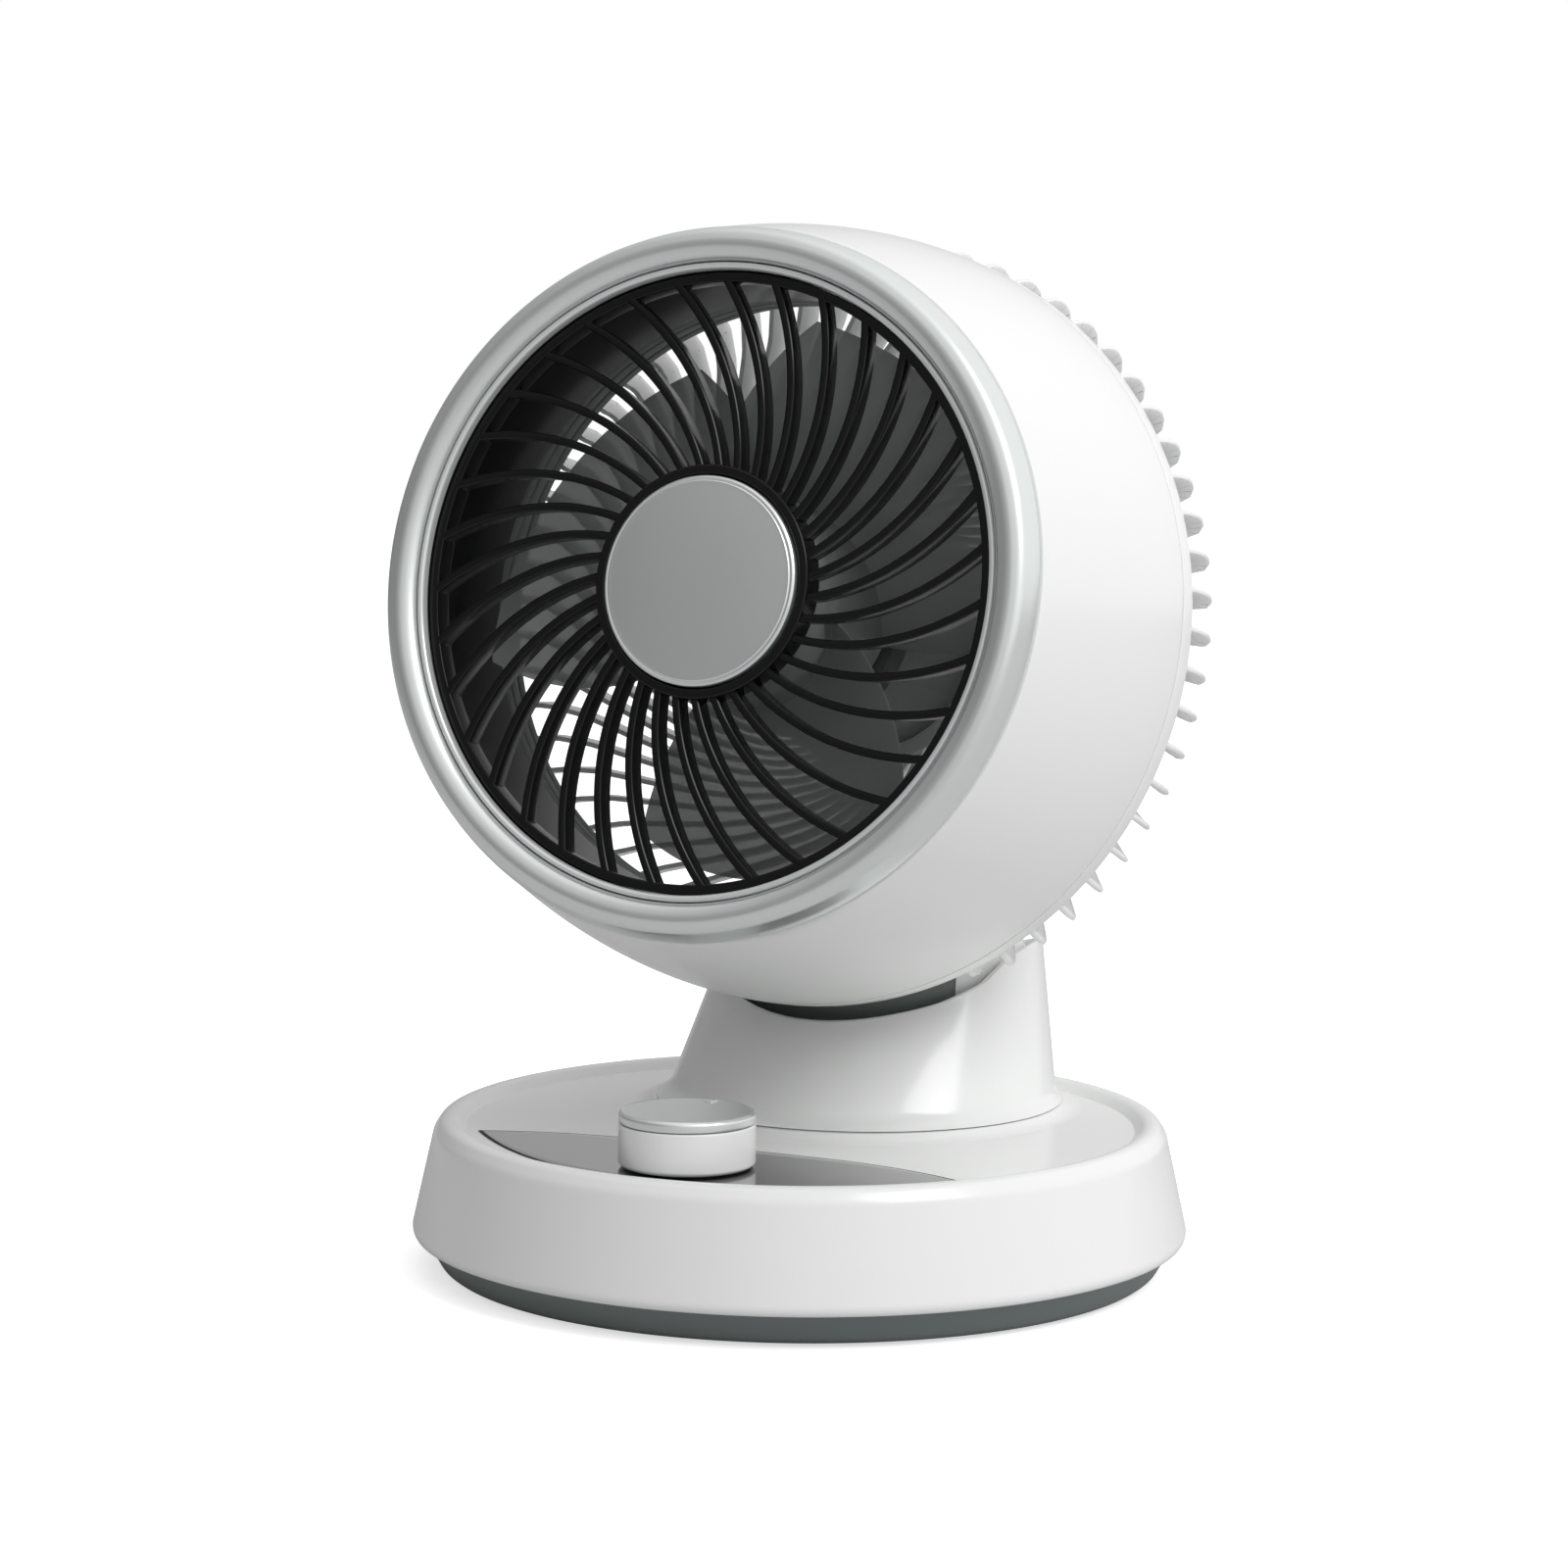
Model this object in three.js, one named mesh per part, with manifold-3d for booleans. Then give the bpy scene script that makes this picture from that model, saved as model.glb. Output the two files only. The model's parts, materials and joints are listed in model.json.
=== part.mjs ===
// Desk air circulator: a drum-shaped fan head on a swivelling, tilting neck over a round base.
// Units are millimetres, +Z is up, and the air leaves towards -Y. The origin is the centre of
// the footprint on the table. The head is drawn in its own frame, whose Z axis is the fan axis
// and points out of the front, with its origin at the centre of the front opening.
import * as THREE from 'three';
import { mergeVertices } from 'three/addons/utils/BufferGeometryUtils.js';
import Module from 'manifold-3d';

const wasm = await Module();
wasm.setup();

// ---------------------------------------------------------------- driving dimensions
const gap = 0.3; // clearance between pieces that rest on or pass by each other
const wall = 2.5; // moulded wall
const screwRadius = 1.5;
const screwHeadRadius = 3.1;
const screwHeadHeight = 1.5;
const slotWidth = 0.8;
const slotDepth = 0.7;
const mergeDistance = 0.01; // edges shorter than this are closed up
const roundSides = 36; // facets round the large turned pieces

// Base.
const baseRadius = 120;
const baseWidestHeight = 13;
const shellEdgeRadius = 115.6;
const shellEdgeHeight = 10.6;
const rimRadius = 108.5; // crest of the raised rim
const rimHeight = 46.7;
const dishHeight = 43.7; // floor of the dish inside the rim
const landingHeight = 46; // raised round seat under the neck
const skirtRadius = 111;
const skirtBottom = 1;
const footRadius = 9;
const footCircle = 92;
const baseScrewCircle = 72;

// Controls.
const panelHalfWidth = 81;
const panelTipY = -58;
const panelBackY = -46.5;
const panelFrontY = -99.5;
const panelThickness = 1.3;
const knobY = -76;
const knobRadius = 20.3;
const knobTop = 60.9;
const knobCapHeight = 3.7;
const switchShaftRadius = 3;
const boardTop = 33;
const boardHalfWidth = 32;
const boardHalfDepth = 17;
const boardPostX = 26;

// Power inlet.
const inletHeight = 24;
const inletLand = 116; // flat land for the inlet on the back of the shell
const inletRadius = 5;
const inletFlangeRadius = 7.4;
const inletBoreRadius = 3.3;
const inletBoreDepth = 12;

// Neck and swivel drive.
const neckAxisY = 42;
const neckFootRadius = 64;
const neckWall = 3;
const neckTop = 112; // height before the cradle is cut
const turntableInset = 12; // edge of the turntable inside the neck's foot
const turntableThickness = 3;
const gearModule = 1.25;
const gearTeeth = 36;
const pinionTeeth = 12;
const gearWidth = 6.4;
const addendum = 0.95; // tooth height outside the pitch circle, in modules
const dedendum = 1.3; // tooth depth inside the pitch circle, in modules
const gearRim = 1.875; // under the large gear's teeth
const sleeveWall = 3.5;
const sectorSpread = 62; // toothed degrees on each side of the middle of the large gear
const swivelMotorRadius = 25;
const swivelMotorHeight = 17;
const motorPostX = 33;
const outputShaftRadius = 2.5;

// Tilt joint.
const tiltY = 59.5;
const tiltZ = 82;
const tailInset = 15.5; // side of the tail inside the neck's foot
const tailSetback = 22; // round of the tail inside the neck's foot
const tailWall = 2.5;
const tiltPinRadius = 3;
const yokeInside = 24;
const yokePlate = 3;

// Head, measured back from the plane of the front opening.
const headTilt = 11.17; // degrees above level at rest
const tailOverlap = 14.78; // how far the tail reaches into the head
const pivotRise = 12.86; // tilt axis above the lowest line of the drum
const openingRadius = 91.9;
const bezelWidth = 13.7;
const bezelBack = 4;
const drumSwell = 13.7; // how far the drum swells out behind the bezel
const drumDepth = 82.3;
const drumWall = 2.6;
const ductDepth = 45;
const guideDepth = 60; // rear end of the air guide ring
const rimBandDepth = 90; // rear end of the rear guard's rim
const guardDepth = 126; // back of the rear guard

// Front grille.
const frontRibs = 35;
const frontRibWidth = 2.5;
const frontRibDepth = 7;
const frontRibTwist = 25.5; // degrees from the hub ring to the outer ring
const frontRibStart = 4; // degrees
const hubRingRadius = 34.6;
const hubCapRadius = 31.1;

// Rear guard.
const rearFins = 63;
const rearFinStart = 1.5; // degrees
const rearFinWidth = 1.9;
const rearFinTwist = 66; // degrees from the rim to the hub plate, most of it near the plate
const rearHubRadius = 40;

// Impeller and motor.
const blades = 3;
const bladeClearance = 8.4; // between the blade tips and the opening's radius
const bladeThickness = 2;
const impellerHubRadius = 32;
const bladeFront = 23;
const bladeBack = 63;
const trailingAngle = 351; // degrees at the hub, seen from the front
const trailingSweep = 34;
const bladeChordHub = 128;
const bladeChordTip = 79;
const motorRadius = 37;
const motorFront = 68;
const shaftRadius = 4;

// ---------------------------------------------------------------- derived places
const rad = THREE.MathUtils.degToRad;
const tau = Math.PI * 2;
const ceiling = dishHeight - wall; // underside of the base shell's top
const turntableBottom = landingHeight + gap;
const turntableTop = turntableBottom + turntableThickness;
const flangeTop = turntableTop + gap + wall; // top of the neck's floor
const gearPitch = (gearModule * gearTeeth) / 2;
const pinionPitch = (gearModule * pinionTeeth) / 2;
const sleeveRadius = gearPitch - dedendum * gearModule - gearRim;
const turntableRadius = neckFootRadius - turntableInset;
const tailHalfWidth = neckFootRadius - tailInset;
const tailRadius = neckFootRadius - tailSetback;
const pivotBack = guardDepth + tailRadius - tailOverlap; // tilt axis behind the opening plane
const bezelRadius = openingRadius + bezelWidth;
const drumRadius = bezelRadius + drumSwell;
const pivotDrop = drumRadius - pivotRise;
const bladeRadius = openingRadius - bladeClearance;
const motorY = neckAxisY - gearPitch - pinionPitch;
const gearTop = ceiling - 2.4;
const gearBottom = gearTop - gearWidth;
const tilt = rad(headTilt);
const headFrame = new THREE.Matrix4().makeRotationX(Math.PI / 2 - tilt);
const pivotInHead = new THREE.Vector3(0, -pivotDrop, -pivotBack).applyMatrix4(headFrame);
headFrame.setPosition(new THREE.Vector3(0, tiltY, tiltZ).sub(pivotInHead));

// ---------------------------------------------------------------- solids from geometry
function signedVolume(position, index) {
  const a = new THREE.Vector3();
  const b = new THREE.Vector3();
  const c = new THREE.Vector3();
  let sum = 0;
  for (let i = 0; i < index.length; i += 3) {
    a.fromArray(position, index[i] * 3);
    b.fromArray(position, index[i + 1] * 3);
    c.fromArray(position, index[i + 2] * 3);
    sum += a.dot(b.cross(c));
  }
  return sum / 6;
}

// Turns a closed three.js geometry into a solid that can be joined and cut.
function solid(geometry) {
  const plain = geometry.clone();
  plain.deleteAttribute('normal');
  plain.deleteAttribute('uv');
  const merged = mergeVertices(plain, 1e-4);
  const position = merged.attributes.position.array;
  const index = [];
  for (let i = 0; i < merged.index.count; i += 3) {
    const [a, b, c] = merged.index.array.slice(i, i + 3);
    if (a !== b && b !== c && c !== a) index.push(a, b, c);
  }
  if (signedVolume(position, index) < 0) index.reverse();
  const mesh = new wasm.Mesh({
    numProp: 3,
    vertProperties: new Float32Array(position),
    triVerts: new Uint32Array(index),
  });
  return new wasm.Manifold(mesh);
}

function geometryOf(body) {
  const mesh = body.simplify(mergeDistance).getMesh();
  const geometry = new THREE.BufferGeometry();
  geometry.setAttribute('position', new THREE.BufferAttribute(mesh.vertProperties, 3));
  geometry.setIndex(new THREE.BufferAttribute(mesh.triVerts, 1));
  geometry.computeVertexNormals();
  return geometry;
}

const join = (first, ...rest) => rest.reduce((sum, next) => sum.add(next), first);
const cut = (first, ...rest) => rest.reduce((sum, next) => sum.subtract(next), first);

// A profile of [radius, height] points turned about the Z axis.
function revolve(profile, sides = roundSides, x = 0, y = 0) {
  const points = profile.map(([r, z]) => new THREE.Vector2(Math.max(r, 0), z));
  const closed = profile[0][0] > 0;
  if (closed) points.push(points[0].clone());
  return solid(new THREE.LatheGeometry(points, sides).rotateX(Math.PI / 2).translate(x, y, 0));
}

// A profile of [radius, depth] points turned about the fan axis, with depth measured backwards.
const turned = (profile, sides = roundSides) => revolve(profile.map(([r, d]) => [r, -d]), sides);

function disc(radius, bottom, top, x = 0, y = 0, sides = 24) {
  return revolve([[0, bottom], [radius, bottom], [radius, top], [0, top]], sides, x, y);
}

function tube(outer, inner, bottom, top, x = 0, y = 0, sides = 24) {
  return revolve([[inner, bottom], [outer, bottom], [outer, top], [inner, top]], sides, x, y);
}

function box(x0, x1, y0, y1, z0, z1) {
  const geometry = new THREE.BoxGeometry(x1 - x0, y1 - y0, z1 - z0);
  return solid(geometry.translate((x0 + x1) / 2, (y0 + y1) / 2, (z0 + z1) / 2));
}

function extrude(shape, bottom, top, curveSegments = 8) {
  const options = { depth: top - bottom, bevelEnabled: false, curveSegments };
  return solid(new THREE.ExtrudeGeometry(shape, options).translate(0, 0, bottom));
}

// A round bar along X.
function crossBar(radius, x0, x1, y, z, sides = 16) {
  const geometry = new THREE.CylinderGeometry(radius, radius, x1 - x0, sides);
  return solid(geometry.rotateZ(Math.PI / 2).translate((x0 + x1) / 2, y, z));
}

const inHead = (body) => body.transform(headFrame.elements);
const turn = (body, degrees) => body.rotate([0, 0, degrees]);

// A closed skin through rings of points that all have the same even count. Each end is closed by
// a strip between the ring's first half and its second, so a thin curved section closes cleanly.
function loft(rings) {
  const count = rings[0].length;
  const position = rings.flat(2);
  const index = [];
  for (let i = 0; i < rings.length - 1; i += 1) {
    const next = i + 1;
    for (let j = 0; j < count; j += 1) {
      const k = (j + 1) % count;
      index.push(i * count + j, i * count + k, next * count + k);
      index.push(i * count + j, next * count + k, next * count + j);
    }
  }
  const last = (rings.length - 1) * count;
  for (let j = 0; j < count / 2 - 1; j += 1) {
    const [a, b, c, d] = [j, j + 1, count - 2 - j, count - 1 - j];
    index.push(a, c, b, a, d, c);
    index.push(last + a, last + b, last + c, last + a, last + c, last + d);
  }
  const geometry = new THREE.BufferGeometry();
  geometry.setAttribute('position', new THREE.Float32BufferAttribute(position, 3));
  geometry.setIndex(index);
  return solid(geometry);
}

// ---------------------------------------------------------------- materials
const finish = (color, roughness, metalness = 0, opacity = 1) =>
  new THREE.MeshStandardMaterial({ color, roughness, metalness, opacity, transparent: opacity < 1 });
const whiteGloss = () => finish(0xf1f2f1, 0.22);
const satinSilver = () => finish(0xb9bdbd, 0.38, 0.55);
const blackSatin = () => finish(0x0d0e0e, 0.35);
const blackGloss = () => finish(0x17181a, 0.12);
const smoke = () => finish(0x4a4d4d, 0.18, 0, 0.82);
const darkGrey = () => finish(0x3c4242, 0.55);
const midGrey = () => finish(0x8d9291, 0.45);
const innerWhite = () => finish(0xdddedc, 0.5);
const rubber = () => finish(0x222323, 0.9);
const steel = () => finish(0x9da0a2, 0.3, 1);
const zinc = () => finish(0x6c7073, 0.42, 0.9);
const boardGreen = () => finish(0x1f4a35, 0.6);

const model = new THREE.Group();
const head = new THREE.Group();
head.applyMatrix4(headFrame);
model.add(head);

function place(name, body, material, parent = model) {
  const mesh = new THREE.Mesh(geometryOf(body), material);
  mesh.name = name;
  parent.add(mesh);
  return body;
}

// ---------------------------------------------------------------- fasteners
// A slotted pan-head screw, driven upwards, whose head sits just below the plane z = seat.
function screw(seat, length, x, y) {
  const under = seat - gap;
  const top = under - screwHeadHeight;
  const body = revolve([
    [0, top],
    [screwHeadRadius - 0.5, top],
    [screwHeadRadius, under],
    [screwRadius, under],
    [screwRadius, under + length],
    [0, under + length],
  ], 8, x, y);
  return body.subtract(box(x - slotWidth / 2, x + slotWidth / 2, y - 2, y + 2, top - 1, top + slotDepth));
}

const around = (radius, degrees) => [radius * Math.cos(rad(degrees)), radius * Math.sin(rad(degrees))];

// One straight round bar or hole at each of several places, all with the same ends.
const discsAt = (places, radius, bottom, top, sides) =>
  places.map(([x, y]) => disc(radius, bottom, top, x, y, sides));

// ---------------------------------------------------------------- base
const feetPlaces = [45, 135, 225, 315].map((a) => around(footCircle, a));
const footSeat = skirtBottom + 1.1;
const basePosts = [30, 150, 210, 330].map((a) => around(baseScrewCircle, a));
const boardPosts = [[-boardPostX, knobY], [boardPostX, knobY]];
const motorPosts = [[-motorPostX, motorY], [motorPostX, motorY]];
const motorTop = gearBottom - 1.2;
const screwSeat = skirtBottom + screwHeadHeight + gap; // the heads end flush with the plate
const baseScrewTop = 14;

// The panel's outline: a leaf with one point at each side.
function leafShape(offset = 0) {
  const w = panelHalfWidth + offset * 3;
  const back = panelBackY + offset;
  const front = panelFrontY - offset;
  const shape = new THREE.Shape();
  shape.moveTo(-w, panelTipY);
  shape.bezierCurveTo(-w * 0.62, back + 3, -w * 0.3, back, 0, back);
  shape.bezierCurveTo(w * 0.3, back, w * 0.62, back + 3, w, panelTipY);
  shape.bezierCurveTo(w * 0.72, front + 17, w * 0.4, front, 0, front);
  shape.bezierCurveTo(-w * 0.4, front, -w * 0.72, front + 17, -w, panelTipY);
  return shape;
}

function shellOutline() {
  return [
    [shellEdgeRadius, shellEdgeHeight],
    [baseRadius - 1.4, shellEdgeHeight + 0.2],
    [baseRadius, baseWidestHeight],
    [rimRadius + 4.9, rimHeight - 4],
    [rimRadius + 2.5, rimHeight - 0.4],
    [rimRadius - 1.8, rimHeight - 0.2],
    [rimRadius - 5, dishHeight],
  ];
}

function baseShell() {
  const outline = shellOutline();
  const filled = revolve([[0, shellEdgeHeight], ...outline, [0, dishHeight]]);
  const hollow = revolve([
    [0, shellEdgeHeight - 5],
    [skirtRadius + 2.2, shellEdgeHeight - 5],
    [skirtRadius + 2.2, baseWidestHeight],
    [baseRadius - 3.2, baseWidestHeight + 0.8],
    [rimRadius + 2.6, ceiling - 2],
    [rimRadius, ceiling],
    [0, ceiling],
  ]);
  const landing = revolve([
    [0, ceiling + 1],
    [neckFootRadius + 10, ceiling + 1],
    [neckFootRadius + 8, dishHeight],
    [neckFootRadius + 1.2, landingHeight],
    [0, landingHeight],
  ], 32, 0, neckAxisY).intersect(disc(rimRadius + 0.5, ceiling, rimHeight, 0, 0, roundSides));
  const posts = [
    ...discsAt(basePosts, 5, skirtBottom + wall + gap, ceiling + 1, 8),
    ...discsAt(boardPosts, 4, boardTop + gap, ceiling + 1, 8),
    ...discsAt(motorPosts, 4, motorTop + gap, ceiling + 1, 8),
  ];
  const bores = discsAt(basePosts, screwRadius + gap, skirtBottom, baseScrewTop + 1, 8);
  const openings = [
    disc(sleeveRadius + gap, ceiling - 1, rimHeight, 0, neckAxisY, 24),
    extrude(leafShape(gap), dishHeight - panelThickness - gap, rimHeight, 7),
    disc(switchShaftRadius + 4, ceiling - 1, rimHeight, 0, knobY, 16),
    box(-9, 9, inletLand, baseRadius + 5, inletHeight - 9, inletHeight + 9),
    yBar(inletRadius + gap, inletLand - 14, inletLand + 6, 14),
  ];
  return cut(join(filled.subtract(hollow), landing, ...posts), ...bores, ...openings);
}

function basePlate() {
  const tray = revolve([
    [0, skirtBottom],
    [skirtRadius, skirtBottom],
    [skirtRadius + 1.9, shellEdgeHeight],
    [skirtRadius + 1.9, baseWidestHeight - 0.6],
    [skirtRadius - 0.6, baseWidestHeight - 0.6],
    [skirtRadius - 1.6, skirtBottom + wall],
    [0, skirtBottom + wall],
  ]);
  const shanks = discsAt(basePosts, screwRadius + gap, 0, baseScrewTop, 8);
  const heads = discsAt(basePosts, screwHeadRadius + gap, 0, screwSeat, 8);
  const recesses = discsAt(feetPlaces, footRadius + gap, 0, footSeat, 14);
  return cut(tray, ...shanks, ...heads, ...recesses);
}

function foot([x, y]) {
  const top = footSeat - gap;
  return revolve([[0, 0], [footRadius - 0.8, 0], [footRadius, 0.6], [footRadius, top], [0, top]], 14, x, y);
}

function controlPanel() {
  const top = dishHeight;
  const leaf = extrude(leafShape(), top - panelThickness, top, 7);
  return leaf.subtract(disc(switchShaftRadius + 2, 0, rimHeight, 0, knobY, 16));
}

function speedKnob() {
  const bottom = dishHeight + 0.8;
  const top = knobTop - knobCapHeight;
  const body = revolve([
    [0, bottom],
    [knobRadius - 1, bottom],
    [knobRadius, bottom + 0.9],
    [knobRadius, top - 0.3],
    [knobRadius - 0.3, top],
    [0, top],
  ], 28, 0, knobY);
  const hollow = tube(knobRadius - 2.2, 7, bottom - 1, top - 2.4, 0, knobY, 20);
  return cut(body, hollow, disc(switchShaftRadius + gap, bottom - 1, top - 3, 0, knobY, 16));
}

function knobCap() {
  const bottom = knobTop - knobCapHeight + gap;
  const cap = revolve([
    [0, bottom],
    [knobRadius - 0.2, bottom],
    [knobRadius, bottom + 0.3],
    [knobRadius, knobTop - 1],
    [knobRadius - 1, knobTop],
    [0, knobTop],
  ], 28, 0, knobY);
  return cap.subtract(pointerSlot(gap));
}

// The small bar that marks the setting lies at the back of the cap at rest.
function pointerSlot(clearance) {
  const y = knobY + knobRadius - 4.6;
  const c = clearance;
  return box(-1.3 - c, 1.3 + c, y - 2.4 - c, y + 2.4 + c, knobTop - 1.2 - c, knobTop + (c > 0 ? 2 : 0.1));
}

function rotarySwitch() {
  const can = box(-8, 8, knobY - 8, knobY + 8, boardTop + gap, ceiling - 1.5);
  const bushing = disc(switchShaftRadius + 1.6, ceiling - 2, ceiling + 0.6, 0, knobY, 16);
  return cut(join(can, bushing), disc(switchShaftRadius + gap, boardTop + 2, rimHeight, 0, knobY, 16));
}

function switchShaft() {
  return disc(switchShaftRadius, boardTop + 2 + gap, knobTop - knobCapHeight - 3 - gap, 0, knobY, 16);
}

function controlBoard() {
  const [w, d] = [boardHalfWidth, boardHalfDepth];
  return box(-w, w, knobY - d, knobY + d, boardTop - 1.6, boardTop);
}

// A round bar along Y through the middle of the inlet.
function yBar(radius, y0, y1, sides) {
  const geometry = new THREE.CylinderGeometry(radius, radius, y1 - y0, sides);
  return solid(geometry.translate(0, (y0 + y1) / 2, inletHeight));
}

function powerInlet() {
  const back = inletLand + gap;
  const face = back + 1.4;
  const boreEnd = face - inletBoreDepth;
  const body = yBar(inletRadius, back - 14, back, 14);
  const flange = yBar(inletFlangeRadius, back, face, 20);
  const bore = yBar(inletBoreRadius, boreEnd, face + 1, 12);
  const pin = yBar(1, boreEnd - 1, boreEnd + 4.5, 8);
  return join(cut(join(body, flange), bore), pin);
}

place('base_shell', baseShell(), whiteGloss());
place('base_plate', basePlate(), darkGrey());
feetPlaces.forEach((at, i) => place(`foot_${i + 1}`, foot(at), rubber()));
basePosts.forEach(([x, y], i) => {
  place(`base_screw_${i + 1}`, screw(screwSeat, baseScrewTop - screwSeat, x, y), steel());
});
place('control_panel', controlPanel(), blackGloss());
place('control_board', controlBoard(), boardGreen());
place('rotary_switch', rotarySwitch(), zinc());
place('power_inlet', powerInlet(), blackSatin());
place('switch_shaft', switchShaft(), steel());
place('speed_knob', speedKnob(), whiteGloss());
place('knob_cap', knobCap(), satinSilver());
place('knob_pointer', pointerSlot(0), whiteGloss());

// ---------------------------------------------------------------- swivel drive
// Half the angle that a tooth takes up at a radius, on an involute flank.
function toothHalfAngle(teeth, radius, thin) {
  const pressure = rad(20);
  const pitch = (gearModule * teeth) / 2;
  const base = pitch * Math.cos(pressure);
  const involute = (a) => Math.tan(a) - a;
  const at = radius > base ? involute(Math.acos(base / radius)) : 0;
  return Math.PI / 2 / teeth + involute(pressure) - at - thin / pitch;
}

// A spur gear outline with toothed degrees on each side of the -Y direction.
function gearShape(teeth, spread, phase, bore) {
  const pitch = (gearModule * teeth) / 2;
  const root = pitch - dedendum * gearModule;
  const tip = pitch + addendum * gearModule;
  const thin = 0.14;
  const points = [];
  for (let i = 0; i < teeth; i += 1) {
    const centre = (i + phase) * (tau / teeth);
    const fromFront = Math.abs(Math.atan2(Math.sin(centre), Math.cos(centre)));
    const ring = fromFront <= rad(spread) ? [root, pitch, tip, tip, pitch, root] : [root, root];
    ring.forEach((r, j) => {
      const side = j < ring.length / 2 ? -1 : 1;
      const a = centre - Math.PI / 2 + side * toothHalfAngle(teeth, r, thin);
      points.push(new THREE.Vector2(r * Math.cos(a), r * Math.sin(a)));
    });
  }
  const shape = new THREE.Shape(points);
  shape.holes.push(new THREE.Path().absarc(0, 0, bore, 0, tau, true));
  return shape;
}

function turntable() {
  const bore = sleeveRadius - sleeveWall;
  const plate = tube(turntableRadius, bore, turntableBottom, turntableTop, 0, neckAxisY, 28);
  const sleeve = tube(sleeveRadius, bore, gearBottom - 0.8, turntableBottom + 0.5, 0, neckAxisY, 24);
  return join(plate, sleeve);
}

function oscillationMotor() {
  const top = motorTop;
  const can = disc(swivelMotorRadius, top - swivelMotorHeight, top - 1.6, 0, motorY, 28);
  const ears = box(-motorPostX - 4.5, motorPostX + 4.5, motorY - 5, motorY + 5, top - 1.7, top);
  const collar = disc(5.2, top - 2, top + 0.5, 0, motorY, 16);
  const bore = disc(outputShaftRadius + gap, top - 8, top + 1, 0, motorY, 16);
  return cut(join(can, ears, collar), bore);
}

// The small gear is turned half round, so that a tooth space faces the sector's middle tooth.
function oscillationPinion() {
  const shape = gearShape(pinionTeeth, 360, 0, outputShaftRadius + gap);
  return extrude(shape, gearBottom, gearTop, 6).rotate([0, 0, 180]).translate([0, motorY, 0]);
}

function oscillationGear() {
  const shape = gearShape(gearTeeth, sectorSpread, 0.5, sleeveRadius + gap);
  return extrude(shape, gearBottom, gearTop, 12).translate([0, neckAxisY, 0]);
}

place('oscillation_motor', oscillationMotor(), zinc());
place('motor_output_shaft', disc(outputShaftRadius, motorTop - 8 + gap, gearTop, 0, motorY, 16), steel());
place('oscillation_pinion', oscillationPinion(), innerWhite());
place('turntable', turntable(), innerWhite());
place('oscillation_gear', oscillationGear(), innerWhite());
place('turntable_retainer', tube(31, sleeveRadius + gap, gearTop + gap, ceiling - gap, 0, neckAxisY, 24),
  innerWhite());

// ---------------------------------------------------------------- clearance round the head
// Outer edge of the rear guard's fins, as [radius, depth, height of the fin] from the rim to the
// hub plate. The first and last heights are small, so that each end sits inside what carries it.
const finCrown = [
  [drumRadius - 1, rimBandDepth - 0.6, 4.6],
  [drumRadius + 2.6, rimBandDepth + 8, 9.5],
  [drumRadius - 4, rimBandDepth + 21, 9.5],
  [drumRadius - 46, guardDepth - 2.6, 9],
  [rearHubRadius - 1, guardDepth - 1.2, 4.6],
];

// The head's outline pushed out far enough for the neck to clear it through the whole tilt.
function cradleCutter() {
  const profile = [
    [0, 60],
    [drumRadius + 6, 60],
    [drumRadius + 3.9, 101],
    [drumRadius + 0.6, 117],
    [drumRadius - 3.5, 129],
    [drumRadius - 10, 139],
    [drumRadius - 14, 152],
    [drumRadius - 20, 175],
    [drumRadius - 29, 205],
    [0, 205],
  ];
  return inHead(turned(profile, 32));
}

// ---------------------------------------------------------------- neck
// Half width, half depth and centre of the neck's oval section at a height.
function neckSection(z, inset) {
  const s = (z - 46.3) / (neckTop - 46.3);
  const flare = z < 51 ? 2.4 * ((51 - z) / 4.7) ** 2.4 : 0;
  const halfWidth = neckFootRadius - 1.4 - 14.6 * s + flare - inset;
  const halfDepth = neckFootRadius - 3.8 - 22.8 * s + flare * 1.2 - inset;
  return { halfWidth, halfDepth, centre: 44.6 + 23 * s - flare * 0.9 };
}

function neckRing(z, inset, sides = 30) {
  const { halfWidth, halfDepth, centre } = neckSection(z, inset);
  return Array.from({ length: sides }, (_, i) => {
    const a = (i / sides) * tau;
    return [halfWidth * Math.cos(a), centre + halfDepth * Math.sin(a), z];
  });
}

const neckBottom = landingHeight + gap;

function neckShell() {
  const heights = [neckBottom, 47.4, 51, 64, 84, neckTop];
  const outer = loft(heights.map((z) => neckRing(z, 0)));
  const cavity = loft([neckBottom - 1, 51, 78, neckTop + 1].map((z) => neckRing(z, neckWall)));
  const floor = loft([turntableTop + gap, flangeTop].map((z) => neckRing(z, neckWall - 0.5)))
    .subtract(disc(40, 0, 60, 0, neckAxisY, 24));
  return join(cut(outer, cavity, cradleCutter()), floor);
}

place('neck_shell', neckShell(), whiteGloss());

// ---------------------------------------------------------------- tilt joint
// The ball-like tail is a spheroid about the tilt axis, so it looks the same at every tilt.
function spheroid(inset, sides = 26, rings = 12) {
  const geometry = new THREE.SphereGeometry(1, sides, rings).rotateZ(Math.PI / 2);
  geometry.scale(tailHalfWidth - inset, tailRadius - inset, tailRadius - inset);
  return solid(geometry.translate(0, tiltY, tiltZ));
}

// Everything in front of the tail: the drum and the apron under the rear guard.
const apronCrown = [
  [drumRadius - 1.4, rimBandDepth + gap],
  [drumRadius - 1.4, rimBandDepth + 8],
  [drumRadius - 4.2, rimBandDepth + 16],
  [drumRadius - 12, rimBandDepth + 24],
  [drumRadius - 27, guardDepth - 7.5],
  [drumRadius - 47, guardDepth - 3],
];

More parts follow.
